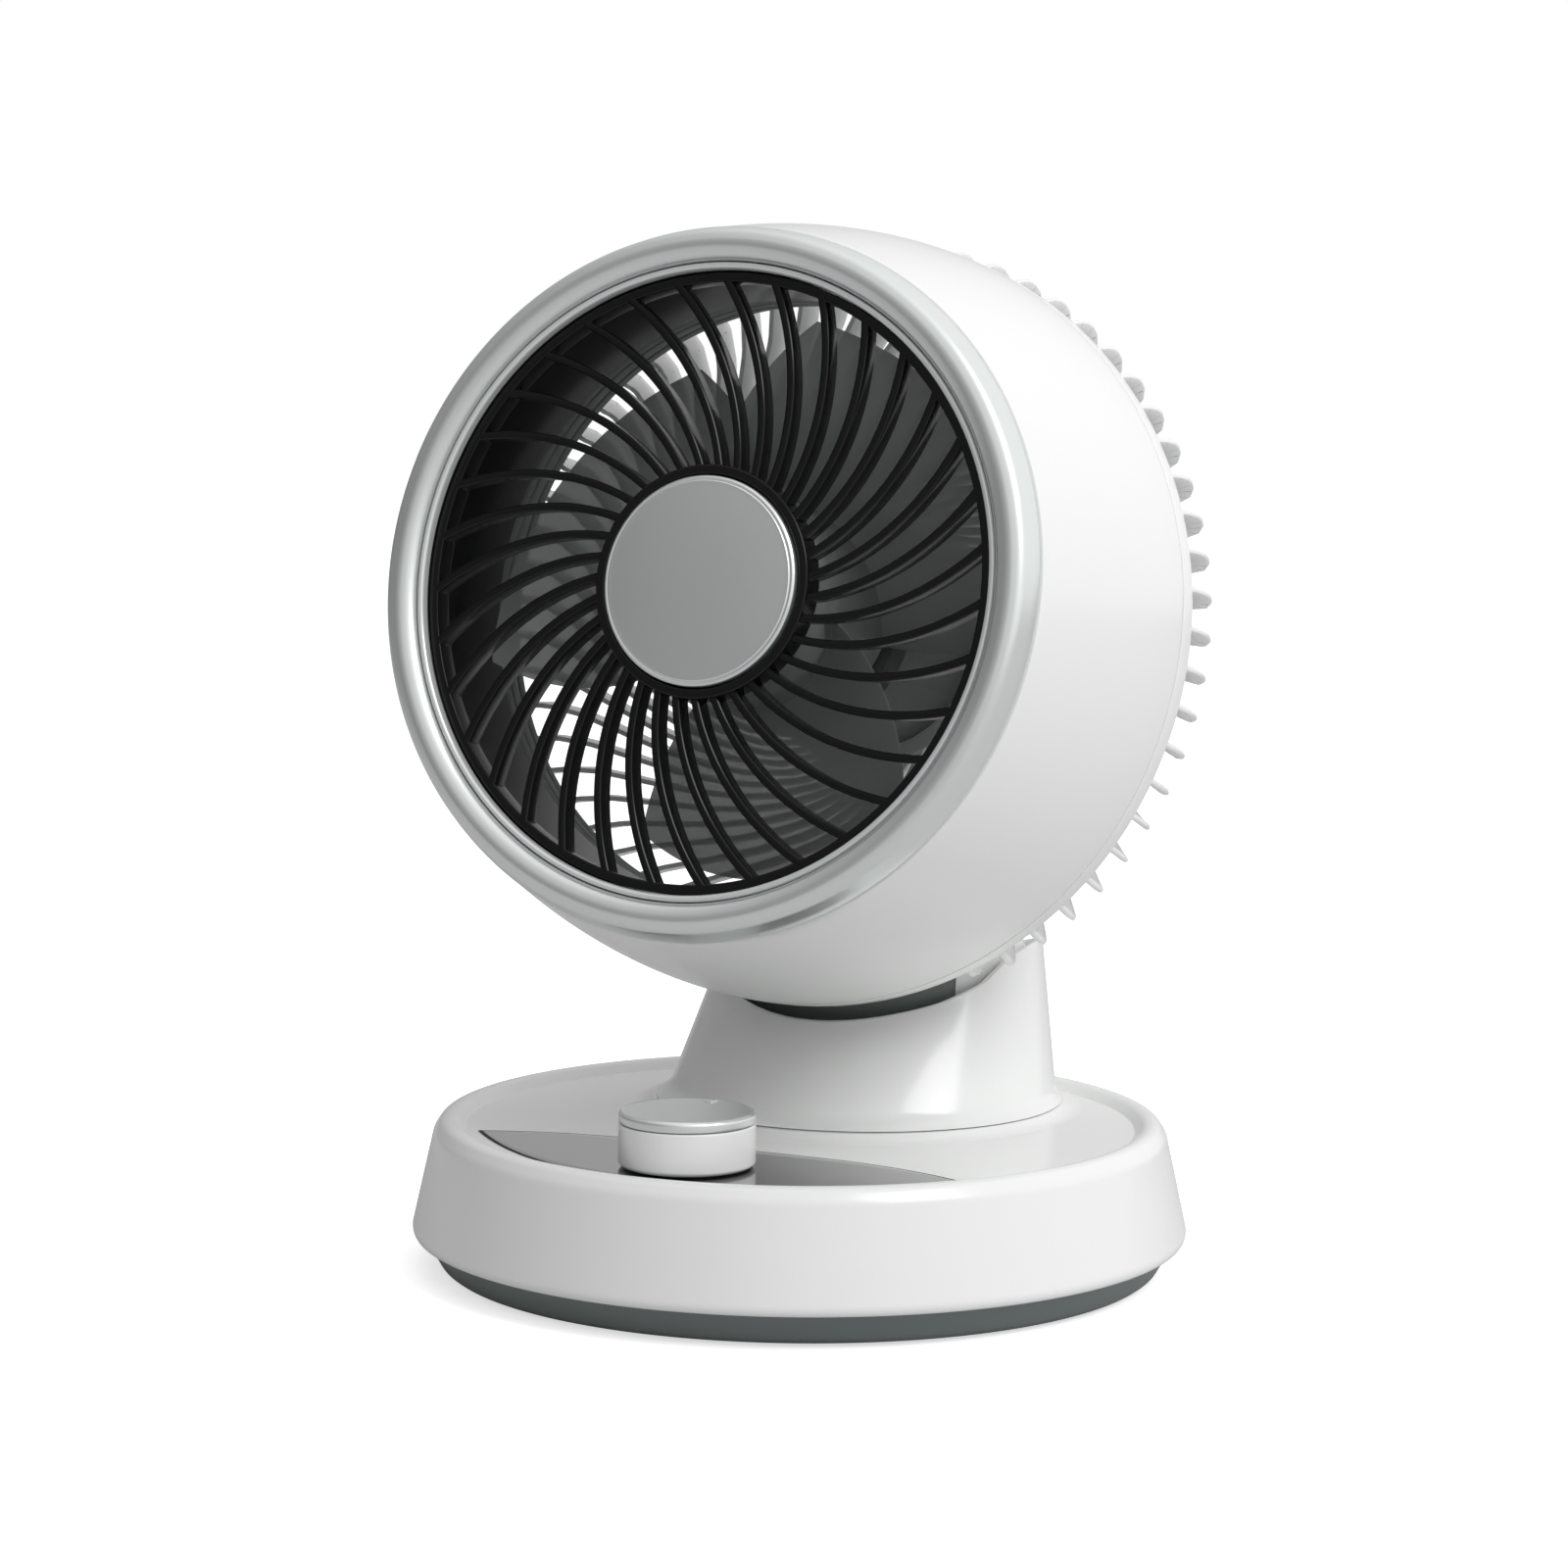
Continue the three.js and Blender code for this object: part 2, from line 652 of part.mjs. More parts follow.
function headCutter(clearance) {
  const outer = apronCrown.map(([r, d]) => [r + clearance, d + clearance * 0.5]);
  return turned([[0, 0], [drumRadius + clearance, 0], [drumRadius + clearance, rimBandDepth + clearance],
    ...outer, [rearHubRadius + 3, guardDepth + clearance], [0, guardDepth + clearance]]);
}

const shroudHalf = tailHalfWidth - 10.5;
const pinHalfLength = tailHalfWidth - 2.3;

function shroudRegion(clearance) {
  const w = shroudHalf + clearance;
  return box(-w, w, tiltY - 60, tiltY - 19, 0, tiltZ + 12);
}

// Two round bars on the tilt axis, one to each side.
const sidePair = (radius, near, far, sides) => [
  crossBar(radius, near, far, tiltY, tiltZ, sides),
  crossBar(radius, -far, -near, tiltY, tiltZ, sides),
];

function pivotTail() {
  const skin = spheroid(0).subtract(spheroid(tailWall, 20, 10));
  const bossLength = tailHalfWidth - 1.2;
  const bossStart = yokeInside + yokePlate + 3;
  const bosses = sidePair(7, bossStart, bossLength, 14);
  const below = box(-60, 60, -20, 140, 0, tiltZ - 6);
  const open = below.subtract(join(...sidePair(9.5, bossStart, 60, 16)));
  const bore = crossBar(tiltPinRadius + gap, -pinHalfLength - gap, pinHalfLength + gap, tiltY, tiltZ, 16);
  return cut(join(skin, ...bosses), open, inHead(headCutter(gap)), shroudRegion(gap), bore);
}

function frontShroud() {
  const skin = spheroid(0).subtract(spheroid(tailWall, 20, 10));
  const lowerEdge = box(-60, 60, -60, 0, -80, 0).rotate([42, 0, 0]).translate([0, tiltY, tiltZ]);
  const kept = skin.intersect(shroudRegion(0)).subtract(inHead(headCutter(gap)));
  return kept.subtract(lowerEdge);
}

function tiltYoke() {
  const bottom = turntableTop + gap;
  const base = box(-27, 27, neckAxisY - 5, tiltY + 9.5, bottom, bottom + 2.6);
  const arm = new THREE.Shape();
  arm.moveTo(-9.5, 0);
  arm.lineTo(9.5, 0);
  arm.lineTo(9.5, tiltZ - bottom);
  arm.absarc(0, tiltZ - bottom, 9.5, 0, Math.PI, false);
  arm.lineTo(-9.5, 0);
  const arms = [-1, 1].map((s) => {
    const options = { depth: yokePlate, bevelEnabled: false, curveSegments: 7 };
    const plate = new THREE.ExtrudeGeometry(arm, options);
    plate.rotateX(Math.PI / 2).rotateZ(Math.PI / 2);
    return solid(plate.translate(s > 0 ? yokeInside : -yokeInside - yokePlate, tiltY, bottom));
  });
  const holes = [
    crossBar(tiltPinRadius + gap, -40, 40, tiltY, tiltZ, 16),
    disc(11, 0, 60, 0, neckAxisY + 14, 16),
  ];
  return cut(join(base, ...arms), ...holes);
}

function frictionWasher(s) {
  const start = yokeInside + yokePlate + gap;
  const end = yokeInside + yokePlate + 3 - gap;
  const ring = crossBar(6.5, s > 0 ? start : -end, s > 0 ? end : -start, tiltY, tiltZ, 16);
  return ring.subtract(crossBar(tiltPinRadius + gap, -40, 40, tiltY, tiltZ, 16));
}

place('tilt_yoke', tiltYoke(), zinc());
place('friction_washer_left', frictionWasher(-1), rubber());
place('friction_washer_right', frictionWasher(1), rubber());
place('tilt_pin', crossBar(tiltPinRadius, -pinHalfLength, pinHalfLength, tiltY, tiltZ, 16), steel());
place('pivot_tail', pivotTail(), whiteGloss());
place('front_shroud', frontShroud(), darkGrey());

// ---------------------------------------------------------------- drum and front
// Outer radius of the drum at a depth: it swells quickly behind the bezel, then runs nearly straight.
function drumOuter(depth) {
  const s = (depth - bezelBack) / (drumDepth - bezelBack);
  return drumRadius - (drumRadius - bezelRadius) * (1 - s) ** 1.7;
}

const drumScrewAngles = [35, 145, 215, 325];
const drumScrewRadius = drumRadius - drumWall - 4.4;
const drumScrewPlaces = drumScrewAngles.map((a) => around(drumScrewRadius, a));
const guardScrewSeat = -drumDepth - 1.6;
const lipDepth = drumDepth - 6.5;

function drumShell() {
  const depths = [0, 0.18, 0.5, 1].map((s) => bezelBack + gap + s * (drumDepth - bezelBack - gap));
  const outer = depths.map((d) => [drumOuter(d), d]);
  const inner = depths.map((d) => [drumOuter(d) - drumWall, d]).reverse();
  const skin = turned([...outer, ...inner]);
  const ledge = turned([[96.5, 14.6], [drumOuter(14.6) - 1, 14.6], [drumOuter(17) - 1, 17], [96.5, 17]]);
  const bosses = discsAt(drumScrewPlaces, 4.2, -lipDepth + gap, -56, 8);
  const limit = turned([[0, 0], ...outer.map(([r, d]) => [r - 0.2, d]), [0, drumDepth]]);
  const bores = discsAt(drumScrewPlaces, screwRadius + gap, -lipDepth - 1, -60, 8);
  return cut(join(skin, ledge, ...bosses.map((b) => b.intersect(limit))), ...bores);
}

function frontBezel() {
  return turned([
    [openingRadius, 0],
    [openingRadius + 3.2, -4],
    [openingRadius + 7.2, -5.5],
    [openingRadius + 11.4, -3.8],
    [bezelRadius, bezelBack],
    [bezelRadius - 3.2, bezelBack],
    [bezelRadius - 3.2, bezelBack + 6],
    [bezelRadius - 5.2, bezelBack + 6],
    [bezelRadius - 5.2, bezelBack - 1],
    [openingRadius + 1.4, 0.5],
  ]);
}

const ductOuter = openingRadius + 2;

function airDuct() {
  return turned([
    [openingRadius, 1.2],
    [ductOuter, 1.6],
    [ductOuter, 11.8],
    [drumOuter(14) - drumWall - 1, 11.8],
    [drumOuter(14) - drumWall - 1, 14.3],
    [ductOuter, 14.3],
    [ductOuter, ductDepth - gap],
    [openingRadius, ductDepth - gap],
  ]);
}

function guideRing() {
  const seat = drumOuter(guideDepth - 2.2) - drumWall - gap - 0.7;
  return turned([
    [openingRadius + 0.2, ductDepth],
    [openingRadius + 2.6, ductDepth],
    [openingRadius + 3.6, guideDepth - 2.2],
    [seat, guideDepth - 2.2],
    [seat, guideDepth],
    [openingRadius + 1.2, guideDepth],
  ]).subtract(join(...discsAt(drumScrewPlaces, 4.8, -drumDepth, -ductDepth, 8)));
}

// One spiral rib of the front grille: its angle grows evenly with its radius.
function frontRib() {
  const steps = 4;
  const front = -1;
  const inner = hubRingRadius - 1.6;
  const outer = openingRadius - 2;
  const rings = Array.from({ length: steps + 1 }, (_, i) => {
    const r = inner + (i / steps) * (outer - inner);
    const a = rad(frontRibStart + (i / steps) * frontRibTwist);
    const lean = Math.atan(rad(frontRibTwist) * (r / (outer - inner)));
    return [[0.5, 0], [-0.5, 0], [-0.34, 1], [0.34, 1]].map(([across, back]) => {
      const t = across * frontRibWidth;
      const dx = -Math.sin(a + lean) * t;
      const dy = Math.cos(a + lean) * t;
      return [r * Math.cos(a) + dx, r * Math.sin(a) + dy, front - back * frontRibDepth];
    });
  });
  return loft(rings);
}

function frontGrille() {
  const outer = openingRadius - gap;
  const rim = turned([[outer - 3, 1], [outer, 1], [outer, 8.6], [outer - 2.6, 8.6]]);
  const hub = turned([
    [0, 4.4],
    [hubCapRadius + 0.5, 4.4],
    [hubCapRadius + 0.5, 0.8],
    [hubRingRadius, 0.8],
    [hubRingRadius, 8.6],
    [0, 8.6],
  ], 35);
  const rib = frontRib();
  const ribs = Array.from({ length: frontRibs }, (_, i) => turn(rib, (i * 360) / frontRibs));
  return join(rim, hub, ...ribs);
}

function hubCap() {
  return turned([
    [0, 4.1],
    [hubCapRadius, 4.1],
    [hubCapRadius, -0.6],
    [hubCapRadius - 0.8, -1.2],
    [hubCapRadius * 0.6, -2.1],
    [0, -2.5],
  ], 36);
}

place('drum_shell', drumShell(), whiteGloss(), head);
place('front_bezel', frontBezel(), satinSilver(), head);
place('air_duct', airDuct(), blackSatin(), head);
place('guide_ring', guideRing(), midGrey(), head);
place('front_grille', frontGrille(), blackSatin(), head);
place('hub_cap', hubCap(), satinSilver(), head);

// ---------------------------------------------------------------- rear guard
// One swirled fin: a tall blade on edge that follows the crown from the rim to the hub plate.
function rearFin() {
  const spread = drumRadius - rearHubRadius;
  const rings = finCrown.map(([r, d, height], i) => {
    const [rNext, dNext] = finCrown[Math.min(i + 1, finCrown.length - 1)];
    const [rLast, dLast] = finCrown[Math.max(i - 1, 0)];
    const along = new THREE.Vector2(rNext - rLast, dNext - dLast).normalize();
    const inward = i === 0 ? [-1, 0] : [-along.y, along.x];
    const edges = [[r, d, 1], [r + inward[0] * height, d + inward[1] * height, -1]];
    return edges.flatMap(([radius, depth, order]) => {
      const inwards = Math.max(drumRadius - radius, 0) / spread;
      const a = rad(rearFinTwist) * inwards ** 2;
      const lean = Math.atan((radius * rad(rearFinTwist) * 2 * inwards) / spread);
      return [order, -order].map((side) => {
        const half = (side * rearFinWidth) / 2;
        const x = radius * Math.cos(a) - Math.sin(a - lean) * half;
        const y = radius * Math.sin(a) + Math.cos(a - lean) * half;
        return [x, y, -depth];
      });
    });
  });
  return loft(rings);
}

const motorScrewCircle = 30;
const motorScrewPlaces = [90, 210, 330].map((a) => around(motorScrewCircle, a));
const motorScrewSeat = -guardDepth + 3.4;
const behind = -guardDepth - 20; // clear of everything at the back

function rearGuard(tailFilled) {
  const rim = turned([
    [drumRadius - drumWall - 4, lipDepth],
    [drumRadius - drumWall - gap - 0.4, lipDepth],
    [drumRadius - drumWall - gap - 0.2, drumDepth + gap],
    [drumRadius, drumDepth + gap],
    [drumRadius, rimBandDepth],
    [drumRadius - drumWall - 4, rimBandDepth],
  ]);
  const lugs = discsAt(drumScrewPlaces, 5, -rimBandDepth, -lipDepth, 10);
  const crownLimit = turned([[0, lipDepth], [drumRadius - drumWall - gap - 0.4, lipDepth],
    [drumRadius - drumWall - gap - 0.2, rimBandDepth + 0.1], [0, rimBandDepth + 0.1]]);
  const fin = rearFin();
  const fins = Array.from({ length: rearFins }, (_, i) =>
    turn(fin, rearFinStart + (i * 360) / rearFins));
  const plate = turned([
    [0, guardDepth - 7],
    [rearHubRadius + 2, guardDepth - 7],
    [rearHubRadius + 2, guardDepth - 1],
    [rearHubRadius - 1, guardDepth + 1],
    [0, guardDepth + 1.6],
  ]);
  const apron = turned([...apronCrown, ...apronCrown.map(([r, d]) => [r - 3, d - 1.2]).reverse()])
    .intersect(box(-50, 50, -140, -60, -150, -60)).intersect(tailFilled);
  const outside = tailFilled.subtract(headCutter(0));
  const holes = [
    ...discsAt(drumScrewPlaces, screwHeadRadius + gap, behind, guardScrewSeat, 10),
    ...discsAt(drumScrewPlaces, screwRadius + gap, behind, -lipDepth + 1, 8),
    ...discsAt(motorScrewPlaces, screwHeadRadius + gap, behind, motorScrewSeat, 10),
    ...discsAt(motorScrewPlaces, screwRadius + gap, behind, -guardDepth + 10, 8),
  ];
  const lugsCut = lugs.map((lug) => lug.intersect(crownLimit));
  return cut(join(rim, ...lugsCut, cut(join(...fins), outside), plate, apron), ...holes);
}

const shaftBack = -guardDepth + 27;

function motorBody() {
  const back = guardDepth - 7 - gap;
  const can = turned([
    [0, motorFront],
    [motorRadius - 3, motorFront],
    [motorRadius, motorFront + 3],
    [motorRadius, back],
    [0, back],
  ], 36);
  const nose = disc(9.5, -motorFront - 1, -motorFront + 5, 0, 0, 16);
  const bores = discsAt(motorScrewPlaces, screwRadius + gap, behind, -back + 10, 8);
  return cut(join(can, nose), disc(shaftRadius + gap, shaftBack - gap, 0, 0, 0, 20), ...bores);
}

// ---------------------------------------------------------------- impeller
// A swept blade: one end of each row is the rear leading edge, the other the front trailing edge.
function impellerBlade() {
  const rows = 4;
  const columns = 5;
  const inner = impellerHubRadius - 1.2;
  const rings = Array.from({ length: rows + 1 }, (_, i) => {
    const s = i / rows;
    const r = inner + s * (bladeRadius - inner);
    const trail = trailingAngle - trailingSweep * s ** 0.9;
    const chord = bladeChordHub + (bladeChordTip - bladeChordHub) * s;
    const upper = [];
    const lower = [];
    for (let j = 0; j <= columns; j += 1) {
      const c = j / columns;
      const a = rad(trail - chord * c);
      const camber = 4 * Math.sin(Math.PI * c) * (0.4 + 0.6 * s);
      const depth = bladeFront + (bladeBack - bladeFront) * c + camber;
      const edge = 0.35 + 0.65 * Math.sin(Math.PI * c) ** 0.5;
      const half = (bladeThickness * edge) / 2;
      upper.push([r * Math.cos(a), r * Math.sin(a), -depth + half]);
      lower.unshift([r * Math.cos(a), r * Math.sin(a), -depth - half]);
    }
    return [...upper, ...lower];
  });
  return loft(rings);
}

function impeller() {
  const hub = turned([
    [0, 17],
    [14, 17.4],
    [27, 21.5],
    [impellerHubRadius, 28],
    [impellerHubRadius, motorFront - 3],
    [impellerHubRadius - 2.5, motorFront - 3],
    [impellerHubRadius - 2.5, 32],
    [12, 26],
    [12, motorFront - 8],
    [0, motorFront - 8],
  ], 24);
  const blade = impellerBlade();
  const copies = Array.from({ length: blades }, (_, i) => turn(blade, (i * 360) / blades));
  const bore = disc(shaftRadius + gap, -200, 0, 0, 0, 20);
  const nutPocket = disc(9.6, -21, 0, 0, 0, 16);
  return cut(join(hub, ...copies), bore, nutPocket);
}

function impellerNut() {
  const nut = turned([[0, 12.4], [6.5, 12.6], [9, 14], [9, 20.7], [0, 20.7]], 12);
  return nut.subtract(disc(shaftRadius + gap, -40, -14.6, 0, 0, 20));
}

const tailInHead = spheroid(-0.6).transform(headFrame.clone().invert().elements);
place('rear_guard', rearGuard(tailInHead), innerWhite(), head);
drumScrewPlaces.forEach(([x, y], i) => {
  place(`guard_screw_${i + 1}`, screw(guardScrewSeat, 16, x, y), steel(), head);
});
place('fan_motor', motorBody(), darkGrey(), head);
motorScrewPlaces.forEach(([x, y], i) => {
  place(`motor_screw_${i + 1}`, screw(motorScrewSeat, 10, x, y), steel(), head);
});
place('motor_shaft', disc(shaftRadius, shaftBack, -15, 0, 0, 20), steel(), head);
place('impeller', impeller(), smoke(), head);
place('impeller_nut', impellerNut(), blackSatin(), head);

export default model;
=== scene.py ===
"""Finished surfaces, materials and studio for a desk air circulator.

The fan stands on Z = 0 and blows towards -Y. Lengths in the tables below are millimetres and
become metres through MM. Surfaces are grids of points worked out as whole arrays.
"""

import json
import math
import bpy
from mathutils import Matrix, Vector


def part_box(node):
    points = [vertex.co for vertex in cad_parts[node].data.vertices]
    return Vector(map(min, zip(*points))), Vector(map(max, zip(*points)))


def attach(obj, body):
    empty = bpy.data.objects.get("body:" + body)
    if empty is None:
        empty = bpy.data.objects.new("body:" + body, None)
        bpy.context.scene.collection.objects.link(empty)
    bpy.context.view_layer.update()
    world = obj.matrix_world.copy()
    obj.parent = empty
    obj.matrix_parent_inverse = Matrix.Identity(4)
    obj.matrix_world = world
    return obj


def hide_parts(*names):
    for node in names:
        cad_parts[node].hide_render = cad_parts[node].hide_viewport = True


bl_info = {
    "name": "Desk Air Circulator",
    "version": (1, 0, 0),
    "blender": (4, 5, 0),
    "location": "3D View > Sidebar > Air Circulator",
    "description": "Finished surfaces, materials and studio for a desk air circulator",
    "category": "Add Mesh",
}

import bmesh
import bpy
import numpy as np
from bpy.props import FloatProperty, FloatVectorProperty, IntProperty, PointerProperty
from mathutils import Matrix, Vector

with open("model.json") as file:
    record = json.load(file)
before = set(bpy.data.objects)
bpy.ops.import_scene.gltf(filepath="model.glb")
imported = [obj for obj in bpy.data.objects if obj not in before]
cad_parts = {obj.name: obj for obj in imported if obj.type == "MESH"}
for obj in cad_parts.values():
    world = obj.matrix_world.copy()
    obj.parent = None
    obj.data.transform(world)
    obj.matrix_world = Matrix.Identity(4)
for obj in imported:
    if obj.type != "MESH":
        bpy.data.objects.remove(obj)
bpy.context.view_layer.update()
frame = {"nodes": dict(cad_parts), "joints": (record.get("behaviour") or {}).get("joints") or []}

MM = 0.001
TAU = 2 * math.pi
MERGE_DISTANCE = 4e-6
SHARP_EDGE = math.radians(34)
JOINTS = {joint["name"]: joint for joint in frame["joints"]}

# The head's own axes: across, up its face, and back along the fan axis from the front opening.
HEAD_CENTRE = np.array(JOINTS["impeller_spin"]["pos_m"])
BACK = np.array(JOINTS["impeller_spin"]["axis"]) / np.linalg.norm(JOINTS["impeller_spin"]["axis"])
ACROSS = np.array([1.0, 0.0, 0.0])
UP = np.cross(ACROSS, BACK)
TILT_CENTRE = np.array(JOINTS["head_tilt"]["pos_m"])
NECK_Y = JOINTS["oscillate"]["pos_m"][1]
KNOB_Y = JOINTS["knob_turn"]["pos_m"][1]

# Head outlines as (radius, depth) behind the plane of the front opening.
DRUM_LEDGE = [(96.5, 14.6), (107.0, 14.6), (107.4, 17.0), (96.5, 17.0)]
BEZEL_BAND = [(94.2, -2.3), (95.6, -4.3), (99.1, -5.6), (103.2, -4.2), (105.3, 1.4), (105.6, 4.0),
              (102.4, 4.0), (102.4, 10.0), (100.4, 10.0), (100.4, 3.0), (94.2, 0.6)]
BEZEL_LIP = [(91.9, 0.9), (91.9, -1.5), (92.4, -2.3), (93.5, -2.5), (94.0, -1.6), (94.0, 0.9)]
DUCT = [(91.9, 1.2), (93.9, 1.6), (93.9, 11.8), (104.0, 11.8), (104.0, 14.3), (93.9, 14.3),
        (93.9, 44.7), (91.9, 44.7)]
GUIDE = [(92.1, 45.0), (94.5, 45.0), (95.5, 57.8), (113.2, 57.8), (113.2, 60.0), (93.1, 60.0),
         (92.9, 56.2), (93.6, 55.9), (93.5, 55.0), (92.7, 54.8), (92.4, 50.2), (93.1, 49.9),
         (93.0, 49.0), (92.2, 48.8)]
GRILLE_RIM = [(88.6, 1.0), (91.6, 1.0), (91.6, 8.6), (89.0, 8.6)]
GRILLE_HUB = [(0.0, 4.4), (31.6, 4.4), (31.6, 0.6), (32.0, 0.2), (34.2, 0.2), (34.6, 0.6),
              (34.6, 8.6), (0.0, 8.6)]
HUB_CAP_EDGE = [(29.3, -1.35), (29.6, -1.1), (29.9, -1.1), (30.3, -1.3), (31.1, -0.7),
                (31.1, 4.1), (0.0, 4.1)]
FIN_CROWN = [(118.0, 88.6, 4.2), (120.2, 91.8, 5.8), (121.5, 95.0, 7.5), (121.8, 98.2, 9.5),
             (121.2, 102.0, 9.5), (119.0, 106.8, 9.5), (115.3, 111.0, 9.5), (108.0, 114.3, 9.5),
             (96.0, 118.0, 9.4), (84.0, 121.0, 9.2), (73.3, 123.2, 9.0), (56.0, 124.4, 6.5),
             (39.0, 124.9, 4.6)]
GUARD_RIM = [(112.7, 75.8), (116.0, 75.8), (116.3, 82.7), (119.3, 82.7), (119.3, 90.0),
             (112.7, 90.0)]
GUARD_PLATE = [(0.0, 119.0), (42.0, 119.0), (42.0, 125.0), (39.0, 127.0), (0.0, 127.6)]
GUARD_BACK = 124.0  # depth past which the plate is its flat back
APRON = [(109.0, 112.4), (107.3, 114.0), (92.3, 118.5), (82.0, 120.8)]
IMPELLER_HUB = [(0.0, 17.0), (9.6, 17.1), (14.0, 17.4), (21.5, 18.9), (27.0, 21.5), (30.4, 24.4),
                (32.0, 28.0), (32.0, 65.0), (29.5, 65.0), (29.5, 32.0), (12.0, 26.0),
                (12.0, 60.0), (0.0, 60.0)]

# Limits that the tail and the neck keep to, as (depth, radius).
HEAD_HULL = [(0.0, 118.2), (98.3, 118.2), (106.0, 115.1), (114.0, 107.3), (118.5, 92.3),
             (123.0, 72.3), (126.0, 43.0), (126.1, 0.0)]
CRADLE = [(60.0, 125.3), (101.0, 123.2), (117.0, 119.9), (129.0, 115.8), (139.0, 109.3),
          (152.0, 105.3), (175.0, 99.3), (205.0, 90.3)]

# A front rib across its run as (share of its width, depth), and the face of the hub cap.
RIB_SECTION = [(-0.5, 1.9), (-0.47, 1.35), (-0.36, 1.05), (-0.16, 0.95), (0.16, 0.95),
               (0.36, 1.05), (0.47, 1.35), (0.5, 1.9), (0.36, 7.6), (0.26, 8.0), (-0.26, 8.0),
               (-0.36, 7.6)]
RIB_MIDDLE = 4.5
CAP_RADIUS = 29.0
CAP_FRONT = -2.5
CAP_RISE = 1.15

# A rear fin across its run as (share of its drop, share of its width).
FIN_SECTION = [(1.0, -0.4), (0.5, -0.5), (0.12, -0.5), (0.04, -0.38), (0.0, -0.12),
               (0.0, 0.12), (0.04, 0.38), (0.12, 0.5), (0.5, 0.5), (1.0, 0.4)]
FIN_PRESS = 4.2
PRESS_REACH = math.radians(33)  # how far to each side of straight down the crown is pressed in
PRESS_EASE = math.radians(8)
FIN_SKEW = 0.15  # at the drum's radius a fin falls back by this share of its depth past SKEW_START
SKEW_START = 89.4

# Blades: angles in degrees, lengths in millimetres.
BLADE_START = 30.8  # radius
BLADE_TRAIL = 351  # angle of the first blade's edge at the hub
BLADE_SWEEP = 34  # how far that edge falls back towards the tip
BLADE_CHORD = (128, 79)  # at the hub and at the tip
BLADE_FRONT = 23
BLADE_RUN = 40
BLADE_BOW = 4

# Pockets over the screws, which sit at `reach` from the middle.
POCKET_RADIUS = 3.3
POCKET_SLOPE = 0.35
GUARD_SCREWS = dict(angles=np.radians([90, 210, 330]), reach=30, floor=122.9)
TRAY_SCREWS = dict(angles=np.radians([30, 150, 210, 330]), reach=72, floor=2.8)

# Base outlines as (radius, height).
SHELL_EDGE = [(103.5, 43.7), (106.5, 46.4), (108.8, 46.8), (111.1, 46.1), (113.4, 42.7),
              (120.0, 13.0), (119.2, 11.0), (117.2, 10.65), (113.2, 10.7), (113.2, 13.0),
              (116.8, 13.8), (111.1, 39.2), (108.5, 41.2)]
TRAY = [(0.0, 1.0), (109.4, 1.0), (111.4, 2.4), (115.4, 9.4), (115.6, 10.4), (112.9, 10.5),
        (112.9, 12.4), (110.4, 12.4), (109.0, 3.5), (0.0, 3.5)]
FOOT = [(0.0, 0.0), (8.2, 0.0), (9.0, 0.6), (9.0, 1.8), (0.0, 1.8)]
KNOB_BODY = [(0.0, 44.5), (19.3, 44.5), (20.3, 45.4), (20.3, 56.9), (20.0, 57.2), (0.0, 57.2)]
KNOB_CAP = [(0.0, 57.5), (20.1, 57.5), (20.3, 57.8), (20.3, 59.9), (19.3, 60.9), (18.9, 60.7),
            (0.0, 60.7)]
DISH_HEIGHT = 43.7
LANDING_HEIGHT = 46.0
CEILING = 41.2
SLEEVE_HOLE = 19.3
RIM_CREST = 108  # inside this radius the rim gives way to the landing
LANDING_RADII = (65.2, 72.0)
LANDING_ROWS = (64, 74)  # rows lie closer between these distances from the neck's axis
FOOT_REACH = 92
FOOT_ANGLES = np.radians([45, 135, 225, 315])
NECK_BOTTOM = 46.3
NECK_TOP = 112.0
NECK_WALL = 3.0
# Half width, half depth and middle, as (at the foot, change to the top, share of the flare).
NECK_OVAL = [(62.6, -14.6, 1.0), (60.2, -22.8, 1.2), (44.6, 23.0, -0.9)]
NECK_INSIDE_FOOT = 52.4
LIP_RISE = 0.9
FLARE_TOP = 51
FLARE_HEIGHT = 4.7
FLARE_REACH = 2.4
FLARE_POWER = 2.4
INLET = [(0.0, 105.7), (3.3, 105.7), (3.3, 117.4), (3.7, 117.7), (7.0, 117.7), (7.4, 117.3),
         (7.4, 116.3), (5.0, 116.3), (5.0, 102.3), (0.0, 102.3)]
INLET_PIN = [(0.0, 110.2), (0.7, 110.2), (1.0, 109.9), (1.0, 104.7), (0.0, 104.7)]
INLET_HEIGHT = 24.0
INLET_LAND = (9.0, 116.0)  # half width of the flat behind the inlet, and where it lies in Y
SHELL_RADIUS_AT_LAND = 117.5
PANEL_TIP = -58
PANEL_BACK = -46.5
PANEL_FRONT = -99.5
PANEL_SEAT = 42.4
PANEL_FACE = 44.0

# Finishes and studio, in metres.
GLOSS_DRIFT = 0.15
GRAIN_HEIGHT = 0.1 * MM
COAT_ROUGHNESS = 0.08
SENSOR_WIDTH = 36
LAMP_AIM = (0, 0, 0.16)
FLOOR_REACH = 6.0
FLOOR_SHADE = (0.62, 0.62, 0.62, 1)  # what the fan sees below it
SEEN_SHADE = (0.9, 0.9, 0.9, 1)  # what the camera sees, with the glow added
FLOOR_GLOW = 0.62


# ---------------------------------------------------------------- settings
def length(value_mm, name, description, least=0.0):
    """A length property whose default is given in millimetres."""
    return FloatProperty(name=name, description=description, default=value_mm * MM,
                         min=least, unit="LENGTH", subtype="DISTANCE")


def turn_by(degrees, name, description):
    """An angle property whose default is given in degrees."""
    return FloatProperty(name=name, description=description, default=math.radians(degrees),
                         subtype="ANGLE", unit="ROTATION")


